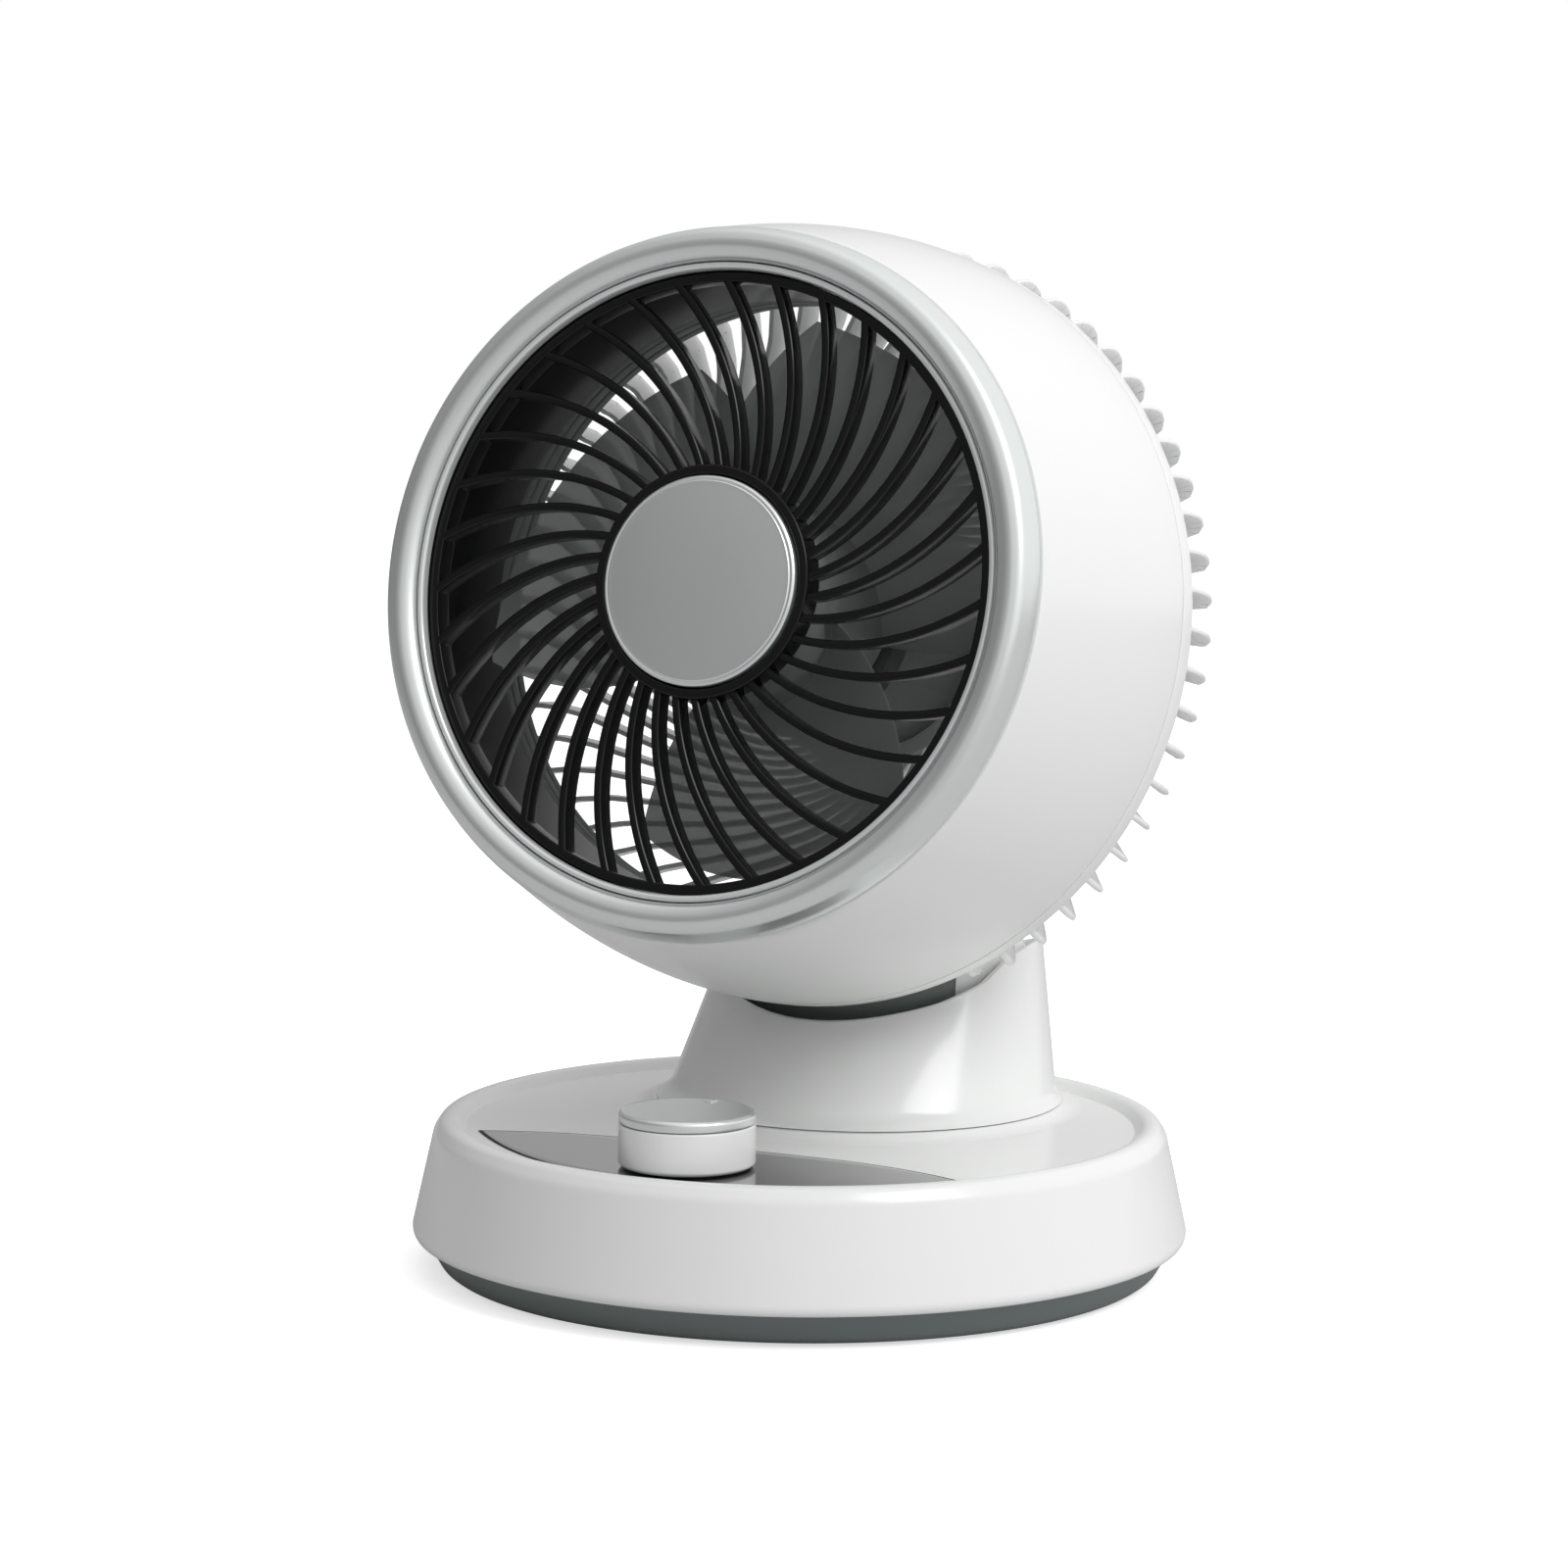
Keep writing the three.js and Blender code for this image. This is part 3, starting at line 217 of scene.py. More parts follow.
def colour(red, green, blue, name):
    """A colour property whose default is given as display values from 0 to 255."""
    shades = np.array([red, green, blue]) / 255
    linear = np.where(shades > 0.04045, ((shades + 0.055) / 1.055) ** 2.4, shades / 12.92)
    return FloatVectorProperty(name=name, description="Colour of the " + name.lower(),
                               default=linear.tolist(), size=3, min=0.0, max=1.0,
                               subtype="COLOR")


class CirculatorSizes(bpy.types.PropertyGroup):
    """Sizes of the fan's moulded surfaces."""

    drum_radius: length(119.25, "Drum radius", "Outer radius of the drum at its back edge")
    drum_swell: length(13.7, "Drum swell", "How far the drum swells out behind the bezel")
    drum_start: length(4.9, "Drum start", "Depth of the drum's front edge")
    drum_end: length(82.3, "Drum end", "Depth of the drum's back edge")
    drum_wall: length(2.6, "Drum wall", "Thickness of the drum's wall")
    ribs: IntProperty(name="Ribs", description="Spiral ribs of the front grille",
                      default=35, min=3, max=90)
    rib_start: length(33.0, "Rib start", "Radius where the front ribs begin")
    rib_end: length(90.1, "Rib end", "Radius where the front ribs end")
    rib_width: length(2.5, "Rib width", "Width of a front rib at its face")
    rib_twist: turn_by(25.5, "Rib twist", "Turn of a rib from hub to rim")
    rib_angle: turn_by(4.0, "Rib angle", "Angle of the first rib at the hub")
    fins: IntProperty(name="Fins", description="Swirled fins of the rear guard",
                      default=63, min=3, max=120)
    fin_width: length(1.9, "Fin width", "Thickness of a rear fin")
    fin_spread: length(79.3, "Fin spread", "Radial reach of a rear fin")
    fin_twist: turn_by(66.0, "Fin twist", "Turn of a fin from rim to plate")
    fin_angle: turn_by(1.5, "Fin angle", "Angle of the first fin at the rim")
    blades: IntProperty(name="Blades", description="Blades of the impeller",
                        default=3, min=2, max=9)
    blade_radius: length(83.5, "Blade radius", "Radius of the blade tips")
    blade_wall: length(2.0, "Blade wall", "Thickness of a blade")
    tail_width: length(48.5, "Tail half width", "Half width of the rounded tail")
    tail_radius: length(42.0, "Tail radius", "Radius of the rounded tail seen from the side")
    tail_wall: length(2.5, "Tail wall", "Thickness of the tail's wall")
    panel_width: length(80.0, "Panel half width", "Half width of the leaf-shaped panel")


class CirculatorColours(bpy.types.PropertyGroup):
    """Colours of the fan's finishes."""

    white_gloss: colour(240, 241, 240, "White gloss plastic")
    inner_white: colour(234, 235, 234, "White satin plastic")
    satin_silver: colour(228, 232, 231, "Satin silver trim")
    bright_lip: colour(226, 228, 228, "Bright lip")
    black_satin: colour(14, 14, 15, "Black satin plastic")
    black_gloss: colour(8, 8, 9, "Black gloss panel")
    smoke: colour(172, 175, 175, "Smoked impeller")
    dark_grey: colour(112, 120, 119, "Dark grey plastic")
    # Painted shade: this grey stands in for the shade on the white inner wall of the guide ring.
    mid_grey: colour(132, 136, 136, "Mid grey plastic")
    rubber: colour(26, 27, 27, "Rubber")
    steel: colour(170, 172, 174, "Steel")
    zinc: colour(120, 124, 127, "Zinc")
    board_green: colour(34, 78, 56, "Circuit board")


class StudioSettings(bpy.types.PropertyGroup):
    """Camera and light of the studio."""

    azimuth: turn_by(26.204, "Azimuth", "Camera angle round the fan")
    elevation: turn_by(6.376, "Elevation", "Camera angle above level")
    roll: turn_by(0.491, "Roll", "Camera roll")
    distance: length(1300, "Distance", "Camera distance from the aim point")
    focal_width: FloatProperty(name="Focal width", description="Focal length over frame width",
                               default=4318.893 / 1600)
    aim_height: length(170, "Aim height", "Height that the camera looks at")
    aim_right: length(-5.916, "Aim right", "Sideways offset of the aim point", least=-1.0)
    aim_up: length(-20.074, "Aim up", "Upward offset of the aim point", least=-1.0)
    ambient: FloatProperty(name="Ambient", description="Strength of the even light",
                           default=0.86, min=0.0)
    key_power: FloatProperty(name="Key power", description="Power of the main soft light",
                             default=16.0, min=0.0, unit="POWER")
    fill_power: FloatProperty(name="Fill power", description="Power of the front light",
                              default=0.8, min=0.0, unit="POWER")


# ---------------------------------------------------------------- surfaces
def surface(points, wrap_rows=False, wrap_columns=True):
    """Quads between neighbouring points of one grid, or of a stack of like grids.

    The last three axes of the array are rows, columns and X, Y, Z."""
    index = np.arange(points[..., 0].size).reshape(points.shape[:-1])
    if wrap_rows:
        index = np.concatenate([index, index[..., :1, :]], axis=-2)
    if wrap_columns:
        index = np.concatenate([index, index[..., :1]], axis=-1)
    corners = [index[..., :-1, :-1], index[..., 1:, :-1], index[..., 1:, 1:], index[..., :-1, 1:]]
    return points.reshape(-1, 3), np.stack(corners, axis=-1).reshape(-1, 4)


def rounded(profile, radius, closed=True, steps=4):
    """A profile with each corner swept by a curve that leaves one side and joins the next.

    The curve starts and ends `radius` from the corner, or at 0.45 of a shorter side:
    (1 - t)^2 start + 2 t (1 - t) corner + t^2 end."""
    corner = np.asarray(profile, float)
    before = np.roll(corner, 1, axis=0) - corner
    after = np.roll(corner, -1, axis=0) - corner
    reach = [np.minimum(radius / np.linalg.norm(side, axis=1), 0.45)[:, None]
             for side in (before, after)]
    start = corner + before * reach[0]
    end = corner + after * reach[1]
    t = np.linspace(0, 1, steps + 1)[None, :, None]
    curve = (1 - t) ** 2 * start[:, None] + 2 * t * (1 - t) * corner[:, None] + t**2 * end[:, None]
    if not closed:
        curve[0] = corner[0]
        curve[-1] = corner[-1]
    return curve.reshape(-1, corner.shape[1])


def densified(profile, step):
    """The same polyline with points added so that none are further apart than `step`."""
    profile = np.asarray(profile, float)
    along = np.concatenate([[0], np.cumsum(np.linalg.norm(np.diff(profile, axis=0), axis=1))])
    places = np.union1d(along, np.arange(0, along[-1], step))
    return np.stack([np.interp(places, along, axis) for axis in profile.T], axis=1)


def ring_angles(segments):
    """Evenly spaced angles of a full turn."""
    return np.linspace(0, TAU, segments, endpoint=False)


def in_head(x, y, depth):
    """Points of the head from offsets across, up its face and back from the opening."""
    x, y, depth = np.broadcast_arrays(x, y, depth)
    return HEAD_CENTRE + x[..., None] * ACROSS + y[..., None] * UP + depth[..., None] * BACK


def head_radius_and_depth(points):
    """Distance from the fan axis and depth behind the opening, the reverse of in_head."""
    offset = points - HEAD_CENTRE
    depth = offset @ BACK
    return np.linalg.norm(offset - depth[..., None] * BACK, axis=-1), depth


def within(outline, points):
    """Whether points lie inside a (depth, radius) outline that is turned about the fan axis."""
    radius, depth = head_radius_and_depth(points)
    depths, radii = np.array(outline).T * MM
    return radius < np.interp(depth, depths, radii)


def turned(profile, segments):
    """A (radius, along) profile carried round an axis: r cos t, r sin t and along."""
    profile = np.asarray(profile, float) * MM
    t = ring_angles(segments)
    radius, along = profile[:, :1], profile[:, 1:]
    return np.broadcast_arrays(radius * np.cos(t), radius * np.sin(t), along)


def turned_in_head(profile, segments=240):
    """A (radius, depth) profile carried round the fan axis."""
    return in_head(*turned(profile, segments))


def turned_upright(profile, y, segments):
    """A (radius, height) profile carried round an upright axis at x = 0 and the given y."""
    right, back, height = turned(profile, segments)
    return np.stack([right, y + back, height], axis=-1)


def hoop(outline, corner, steps=4, segments=360):
    """The surface of a closed (radius, depth) outline, rounded and carried round the fan axis."""
    points = turned_in_head(rounded(outline, corner, steps=steps), segments)
    return surface(points, wrap_rows=True)


def shut_ends(count):
    """Shares from 0 to 1 of a sweep, and the size of its section, which is 0 at both ends."""
    share = np.concatenate([[0], np.linspace(0, 1, count), [1]])
    size = np.concatenate([[0], np.ones(count), [0]])
    return share, size


def crossing(inside, near, far, halvings=26):
    """Where the way from near, which is outside, to far first counts as inside, by halving."""
    for _ in range(halvings):
        middle = (near + far) / 2
        hit = inside(middle)
        far = np.where(hit, middle, far)
        near = np.where(hit, near, middle)
    return near


def smooth_step(value):
    """0 below 0, 1 above 1 and an even ease between them."""
    t = np.clip(value, 0, 1)
    return t * t * (3 - 2 * t)


def pocketed(profile, segments, window, on_face, angles, reach, floor):
    """X, Y and level of a turned outline with a round pocket sunk into its face at each angle.

    The columns of `window`, in degrees, are added at each pocket."""
    t = np.sort(np.concatenate([ring_angles(segments), *(a + np.radians(window) for a in angles)]))
    radius, level = profile[:, :1], profile[:, 1:] + 0 * t
    x, y = radius * np.cos(t), radius * np.sin(t)
    sunk = level
    for a in angles:
        away = np.hypot(x - reach * math.cos(a), y - reach * math.sin(a))
        sunk = floor + (sunk - floor) * smooth_step((away - POCKET_RADIUS) / POCKET_SLOPE)
    return x, y, np.where(on_face(level), sunk, level)


def add_piece(name, surfaces, body, slot, nodes=(), look=None, wall=0.0):
    """One mesh object from grids: poles and seams merged, faces outwards, soft shading.

    Its finish is that of its slot, unless it has a look of its own."""
    points, faces, first = [], [], 0
    for grid_points, grid_faces in surfaces:
        points.append(grid_points)
        faces.append(grid_faces + first)
        first += len(grid_points)
    mesh = bpy.data.meshes.new(name)
    mesh.from_pydata(np.concatenate(points).tolist(), [], np.concatenate(faces).tolist())
    shape = bmesh.new()
    shape.from_mesh(mesh)
    bmesh.ops.remove_doubles(shape, verts=shape.verts, dist=MERGE_DISTANCE)
    bmesh.ops.recalc_face_normals(shape, faces=shape.faces)
    shape.to_mesh(mesh)
    shape.free()
    mesh.polygons.foreach_set("use_smooth", np.ones(len(mesh.polygons), bool))
    mesh.set_sharp_from_angle(angle=SHARP_EDGE)
    mesh.materials.append(finish(look or slot))
    piece = bpy.data.objects.new(name, mesh)
    bpy.context.scene.collection.objects.link(piece)
    if wall:
        shell = piece.modifiers.new("Wall", "SOLIDIFY")
        shell.thickness = wall
        shell.offset = -1
        shell.use_even_offset = True
    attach(piece, body)
    if nodes:
        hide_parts(*nodes)


# ---------------------------------------------------------------- finishes
def add_node(nodes, kind, **values):
    """A node with values on its named sockets, where _ stands for a space."""
    node = nodes.new(kind)
    for name, value in values.items():
        node.inputs[name.replace("_", " ")].default_value = value
    return node


def moulded(name, shade, roughness, metallic=0.0, coat=0.0, drift=0.02, grain=0.03,
            grain_size=0.5, alpha=1.0, specular=0.5):
    """A procedural finish: slow noise shifts colour and roughness, fine noise raises a grain."""
    if name in bpy.data.materials:
        return bpy.data.materials[name]
    material = bpy.data.materials.new(name)
    material.use_nodes = True
    nodes, links = material.node_tree.nodes, material.node_tree.links
    shader = nodes["Principled BSDF"]
    shader.inputs["Metallic"].default_value = metallic
    shader.inputs["Coat Weight"].default_value = coat
    shader.inputs["Coat Roughness"].default_value = COAT_ROUGHNESS
    shader.inputs["Specular IOR Level"].default_value = specular
    shader.inputs["Alpha"].default_value = alpha
    place = nodes.new("ShaderNodeTexCoord").outputs["Object"]

    slow = add_node(nodes, "ShaderNodeTexNoise", Scale=14.0, Detail=3.0)
    links.new(place, slow.inputs["Vector"])
    tint = nodes.new("ShaderNodeMix")
    tint.data_type = "RGBA"
    tint.inputs["A"].default_value = [*(value * (1 - drift) for value in shade), 1]
    tint.inputs["B"].default_value = [*(min(value * (1 + drift), 1) for value in shade), 1]
    links.new(slow.outputs["Fac"], tint.inputs["Factor"])
    links.new(tint.outputs["Result"], shader.inputs["Base Color"])
    gloss = add_node(nodes, "ShaderNodeMapRange", To_Min=roughness * (1 - GLOSS_DRIFT),
                     To_Max=roughness * (1 + GLOSS_DRIFT))
    links.new(slow.outputs["Fac"], gloss.inputs["Value"])
    links.new(gloss.outputs["Result"], shader.inputs["Roughness"])

    fine = add_node(nodes, "ShaderNodeTexNoise", Scale=1 / (grain_size * MM), Detail=2.0)
    links.new(place, fine.inputs["Vector"])
    bump = add_node(nodes, "ShaderNodeBump", Strength=grain, Distance=GRAIN_HEIGHT)
    links.new(fine.outputs["Fac"], bump.inputs["Height"])
    links.new(bump.outputs["Normal"], shader.inputs["Normal"])
    return material


def finish(slot):
    """The finish of a material slot, made the first time that it is asked for."""
    shade = getattr(bpy.context.scene.circulator_colours, slot)
    looks = {
        "white_gloss": dict(roughness=0.24, coat=0.25, drift=0.006, grain=0.015),
        "inner_white": dict(roughness=0.38, drift=0.01, grain=0.05, grain_size=0.4),
        "satin_silver": dict(roughness=0.3, metallic=0.85, drift=0.012, grain=0.02, grain_size=0.3),
        "bright_lip": dict(roughness=0.2, metallic=0.4, drift=0.01),
        "black_satin": dict(roughness=0.2, specular=0.28, drift=0.08, grain=0.03, grain_size=0.4),
        "black_gloss": dict(roughness=0.03, coat=1.0, drift=0.05, grain=0.004),
        "smoke": dict(roughness=0.16, drift=0.04, grain=0.01, alpha=0.8),
        "dark_grey": dict(roughness=0.42, drift=0.05, grain=0.08, grain_size=0.5),
        # Finish of the guide ring, whose grey is painted shade on white plastic.
        "mid_grey": dict(roughness=0.4, drift=0.04, grain=0.05),
        "rubber": dict(roughness=0.8, drift=0.1, grain=0.2, grain_size=0.7),
        "steel": dict(roughness=0.28, metallic=1.0, drift=0.05, grain=0.06, grain_size=0.2),
        "zinc": dict(roughness=0.42, metallic=0.9, drift=0.06, grain=0.12, grain_size=0.6),
        "board_green": dict(roughness=0.45, drift=0.1, grain=0.05),
    }
    return moulded("finish_" + slot, shade, **looks[slot])


# ---------------------------------------------------------------- head
class MakeDrum(bpy.types.Operator):
    """Drum skin with its swelling front, and the ring that seats the air duct"""

    bl_idname = "circulator.make_drum"
    bl_label = "Drum"

    def execute(self, context):
        """The radius falls from the back edge as swell (1 - s)^1.7, s from bezel to back."""
        sizes = context.scene.circulator_sizes
        bezel = 4.0 * MM
        edge = 0.5 * MM
        depth = np.linspace(sizes.drum_start, sizes.drum_end, 48)
        share = (depth - bezel) / (sizes.drum_end - bezel)
        outer = sizes.drum_radius - sizes.drum_swell * (1 - share) ** 1.7
        outside = np.stack([outer, depth], axis=1)
        inside = np.stack([outer - sizes.drum_wall, depth], axis=1)[::-1]
        corner_front = outside[0] + edge * np.array([(-1, 0), (-0.2, 0.3)])
        corner_back = outside[-1] + edge * np.array([(0, -1), (-0.3, -0.2), (-1, 0)])
        loop = np.concatenate([corner_front, outside[1:-1], corner_back, inside]) / MM
        skin = surface(turned_in_head(loop, 360), wrap_rows=True)
        add_piece("drum_skin", [skin, hoop(DRUM_LEDGE, 0.4, segments=240)],
                  "head", "white_gloss", ["drum_shell"])
        return {"FINISHED"}


class MakeBezel(bpy.types.Operator):
    """Satin bezel round the opening, with its bright inner lip"""

    bl_idname = "circulator.make_bezel"
    bl_label = "Bezel"

    def execute(self, context):
        """Both are (radius, depth) outlines turned about the fan axis."""
        add_piece("bezel_band", [hoop(BEZEL_BAND, 1.6, steps=8)], "head", "satin_silver",
                  ["front_bezel"])
        add_piece("bezel_lip", [hoop(BEZEL_LIP, 0.5)], "head", "satin_silver", look="bright_lip")
        return {"FINISHED"}


class MakeDuct(bpy.types.Operator):
    """Black duct behind the opening and the grooved guide ring behind it"""

    bl_idname = "circulator.make_duct"
    bl_label = "Duct and guide ring"

    def execute(self, context):
        """Both are (radius, depth) outlines turned about the fan axis."""
        add_piece("duct_ring", [hoop(DUCT, 0.4)], "head", "black_satin", ["air_duct"])
        # The guide ring gets the grey of painted shade in place of its white plastic.
        add_piece("guide_skin", [hoop(GUIDE, 0.3)], "head", "mid_grey", ["guide_ring"])
        return {"FINISHED"}


class MakeGrille(bpy.types.Operator):
    """Front grille of spiral ribs between its hub and rim, with the cap over the hub"""

    bl_idname = "circulator.make_grille"
    bl_label = "Front grille"

    def execute(self, context):
        """A rib's angle grows evenly with its radius and its section is square to its run;
        the cap's face is a shallow dome, depth = front + rise (r / edge)^2."""
        sizes = context.scene.circulator_sizes
        section = np.array(RIB_SECTION)
        share, size = shut_ends(26)
        span = sizes.rib_end - sizes.rib_start
        radius = sizes.rib_start + share * span
        lean = np.arctan(sizes.rib_twist * radius / span)
        turn = ring_angles(sizes.ribs)[:, None] + sizes.rib_angle + share * sizes.rib_twist
        across = size[:, None] * section[:, 0] * sizes.rib_width
        depth = (RIB_MIDDLE + size[:, None] * (section[:, 1] - RIB_MIDDLE)) * MM
        angle = turn[..., None]
        slant = angle + lean[:, None]
        x = radius[:, None] * np.cos(angle) - np.sin(slant) * across
        y = radius[:, None] * np.sin(angle) + np.cos(slant) * across
        hub = turned_in_head(rounded(GRILLE_HUB, 0.3, closed=False))
        add_piece("grille_ribs", [surface(in_head(x, y, depth)), hoop(GRILLE_RIM, 0.5),
                                  surface(hub)], "head", "black_satin", ["front_grille"])
        face = np.linspace(0, CAP_RADIUS, 24)
        dome = np.column_stack([face, CAP_FRONT + CAP_RISE * (face / CAP_RADIUS) ** 2])
        edge = rounded(HUB_CAP_EDGE, 0.3, closed=False, steps=3)
        cap = turned_in_head(np.concatenate([dome, edge]))
        add_piece("hub_cap_disc", [surface(cap)], "head", "satin_silver", ["hub_cap"])
        return {"FINISHED"}


class MakeRearGuard(bpy.types.Operator):
    """Rear guard of swirled fins between its rim and the plate that carries the motor"""

    bl_idname = "circulator.make_rear_guard"
    bl_label = "Rear guard"

    def fins(self, sizes):
        """Fins on edge: each point turns by twist (inward share)^2 for its own radius and
        falls back a little with depth; above the tail the crown is pressed in to the hull."""
        crown = rounded(FIN_CROWN, 5.0, closed=False, steps=1)[1:-1] * MM
        run = np.gradient(crown[:, :2], axis=0)
        run /= np.linalg.norm(run, axis=1)[:, None]
        inward = np.stack([-run[:, 1], run[:, 0]], axis=1)
        crown, inward = (np.concatenate([a[:1], a, a[-1:]]) for a in (crown, inward))
        section = np.array(FIN_SECTION)
        start = ring_angles(sizes.fins)[:, None, None] + sizes.fin_angle
        from_bottom = np.abs((start + math.pi / 2 + math.pi) % TAU - math.pi)
        press = FIN_PRESS * MM * smooth_step((PRESS_REACH - from_bottom) / PRESS_EASE)
        drop = np.maximum(crown[:, 2:] * section[:, 0], press)
        radius = crown[:, :1] + inward[:, :1] * drop
        depth = crown[:, 1:2] + inward[:, 1:] * drop
        share = np.maximum(sizes.drum_radius - radius, 0) / sizes.fin_spread
        lean = np.arctan(radius * sizes.fin_twist * 2 * share / sizes.fin_spread)
        size = np.ones((len(crown), 1))
        size[[0, -1]] = 0
        across = size * section[:, 1] * sizes.fin_width
        skew = FIN_SKEW * np.maximum(depth - SKEW_START * MM, 0) / sizes.drum_radius
        angle = start + sizes.fin_twist * share**2 - skew
        x = radius * np.cos(angle) - np.sin(angle - lean) * across
        y = radius * np.sin(angle) + np.cos(angle - lean) * across
        return in_head(x, y, depth)

    def plate(self):
        """The plate's outline turned about the axis, with a round pocket over each screw."""
        profile = densified(rounded(GUARD_PLATE, 1.0, closed=False), 0.45)
        x, y, depth = pocketed(profile, 150, np.linspace(-8, 8, 45), lambda z: z > GUARD_BACK,
                               **GUARD_SCREWS)
        return in_head(x * MM, y * MM, depth * MM)

    def apron(self, sizes):
        """The hull under the guard where the tail covers it: y = -sqrt(r^2 - x^2), out to the
        x at which it leaves the tail's spheroid, which counts as `within_tail` of its size."""
        radius, depth = densified(rounded(APRON, 5.0, closed=False), 1.5).T[..., None] * MM
        stretch = np.array([sizes.tail_width, sizes.tail_radius, sizes.tail_radius])
        within_tail = 0.985
        widest = 48 * MM

        def on_hull(x):
            return in_head(x, -np.sqrt(radius**2 - x**2), depth)

        def in_tail(x):
            return np.linalg.norm((on_hull(x) - TILT_CENTRE) / stretch, axis=-1) < within_tail

        half = crossing(in_tail, np.full(radius.shape, widest), np.zeros(radius.shape))
        return on_hull(half * np.linspace(-1, 1, 41))

    def execute(self, context):
        """Fins, rim, plate and apron are one moulding."""
        sizes = context.scene.circulator_sizes
        add_piece("rear_guard_fins",
                  [surface(self.fins(sizes)), hoop(GUARD_RIM, 0.5), surface(self.plate())],
                  "head", "inner_white", ["rear_guard"], look="white_gloss")
        add_piece("guard_apron", [surface(self.apron(sizes), wrap_columns=False)],
                  "head", "inner_white", look="white_gloss", wall=2.0 * MM)
        return {"FINISHED"}


class MakeImpeller(bpy.types.Operator):
    """Smoked impeller with swept blades on a domed hub"""

    bl_idname = "circulator.make_impeller"
    bl_label = "Impeller"

    def execute(self, context):
        """A blade runs round by its chord angle while its depth grows and bulges by a sine."""
        sizes = context.scene.circulator_sizes
        share, size = (values[:, None] for values in shut_ends(40))
        there = (1 - np.cos(np.linspace(0, math.pi, 33))) / 2
        back = there[-2:0:-1]
        along = np.concatenate([there, back])
        side = np.concatenate([np.ones(len(there)), -np.ones(len(back))])
        radius = BLADE_START * MM + share * (sizes.blade_radius - BLADE_START * MM)
        trail = BLADE_TRAIL - BLADE_SWEEP * share**0.9
        chord = BLADE_CHORD[0] + (BLADE_CHORD[1] - BLADE_CHORD[0]) * share
        angle = np.radians(trail - chord * along) + ring_angles(sizes.blades)[:, None, None]
        bulge = np.sin(math.pi * along)
        bow = BLADE_BOW * bulge * (0.4 + 0.6 * share)
        depth = (BLADE_FRONT + BLADE_RUN * along + bow) * MM
        half = sizes.blade_wall / 2 * np.clip(bulge, 0, 1) ** 0.35 * side * size
        blades = in_head(radius * np.cos(angle), radius * np.sin(angle), depth - half)
        hub = turned_in_head(rounded(IMPELLER_HUB, 1.0, closed=False))
        add_piece("impeller_smoke", [surface(blades), surface(hub)], "impeller", "smoke",
                  ["impeller"])
        return {"FINISHED"}


class MakeTail(bpy.types.Operator):
    """Rounded tail that carries the tilt joint, and a dark grey patch on its front that is painted
    shade
    """

    bl_idname = "circulator.make_tail"
    bl_label = "Tail and shroud"

    def tail(self, sizes):
        """A spheroid walked outwards from the side that faces the head, from the head's hull
        down to the level that the neck hides."""
        tip = 0.78  # radians from upright to the side that faces the head
        towards = np.array([0.0, -math.sin(tip), math.cos(tip)])
        forward = np.array([0.0, -math.cos(tip), -math.sin(tip)])
        stretch = np.array([sizes.tail_width, sizes.tail_radius, sizes.tail_radius])
        turn = ring_angles(200)[:, None]
        out = np.cos(turn) * forward + np.sin(turn) * ACROSS
        farthest_top, farthest, low = 2.4, 3.1, 74.0 * MM

        def on_skin(polar):
            return TILT_CENTRE + stretch * (np.cos(polar)[..., None] * towards
                                            + np.sin(polar)[..., None] * out)

        top = crossing(lambda a: ~within(HEAD_HULL, on_skin(a)), np.zeros(len(turn)),
                       np.full(len(turn), farthest_top))
        bottom = crossing(lambda a: on_skin(a)[..., 2] < low, top, np.full(len(turn), farthest))
        share = np.linspace(0, 1, 60)[:, None]
        return on_skin(top * (1 - share) + bottom * share)

    def shroud(self, sizes):
        """A dark patch of painted shade just proud of the tail's front: rows across, columns round
        from the lower edge.
        """
        proud = 0.35 * MM
        half = 37.6 * MM
        highest = 12 * MM
        x = np.linspace(-half, half, 61)
        ring = sizes.tail_radius * np.sqrt(1 - (x / sizes.tail_width) ** 2) + proud

        def on_skin(rise):
            y = TILT_CENTRE[1] - ring * np.cos(rise)
            z = TILT_CENTRE[2] + ring * np.sin(rise)
            return np.stack(np.broadcast_arrays(x, y, z), axis=-1)

        low = np.full(len(x), math.radians(-42.0))
        high = np.arcsin(np.minimum(highest / ring, 1))
        high = crossing(lambda a: within(HEAD_HULL, on_skin(a)), low, high)
        share = np.linspace(0, 1, 28)[:, None]
        return on_skin(low * (1 - share) + high * share)

    def execute(self, context):
        """The tail is a spheroid about the tilt axis, so it looks alike at every tilt."""
        sizes = context.scene.circulator_sizes
        add_piece("tail_skin", [surface(self.tail(sizes))], "head", "white_gloss",
                  ["pivot_tail"], wall=sizes.tail_wall)
        # The dark grey patch over the tail's front is painted shade, standing in for the shade
        # under the drum.
        add_piece("shroud_skin", [surface(self.shroud(sizes), wrap_columns=False)], "head",
                  "dark_grey", ["front_shroud"], wall=sizes.tail_wall)
        return {"FINISHED"}


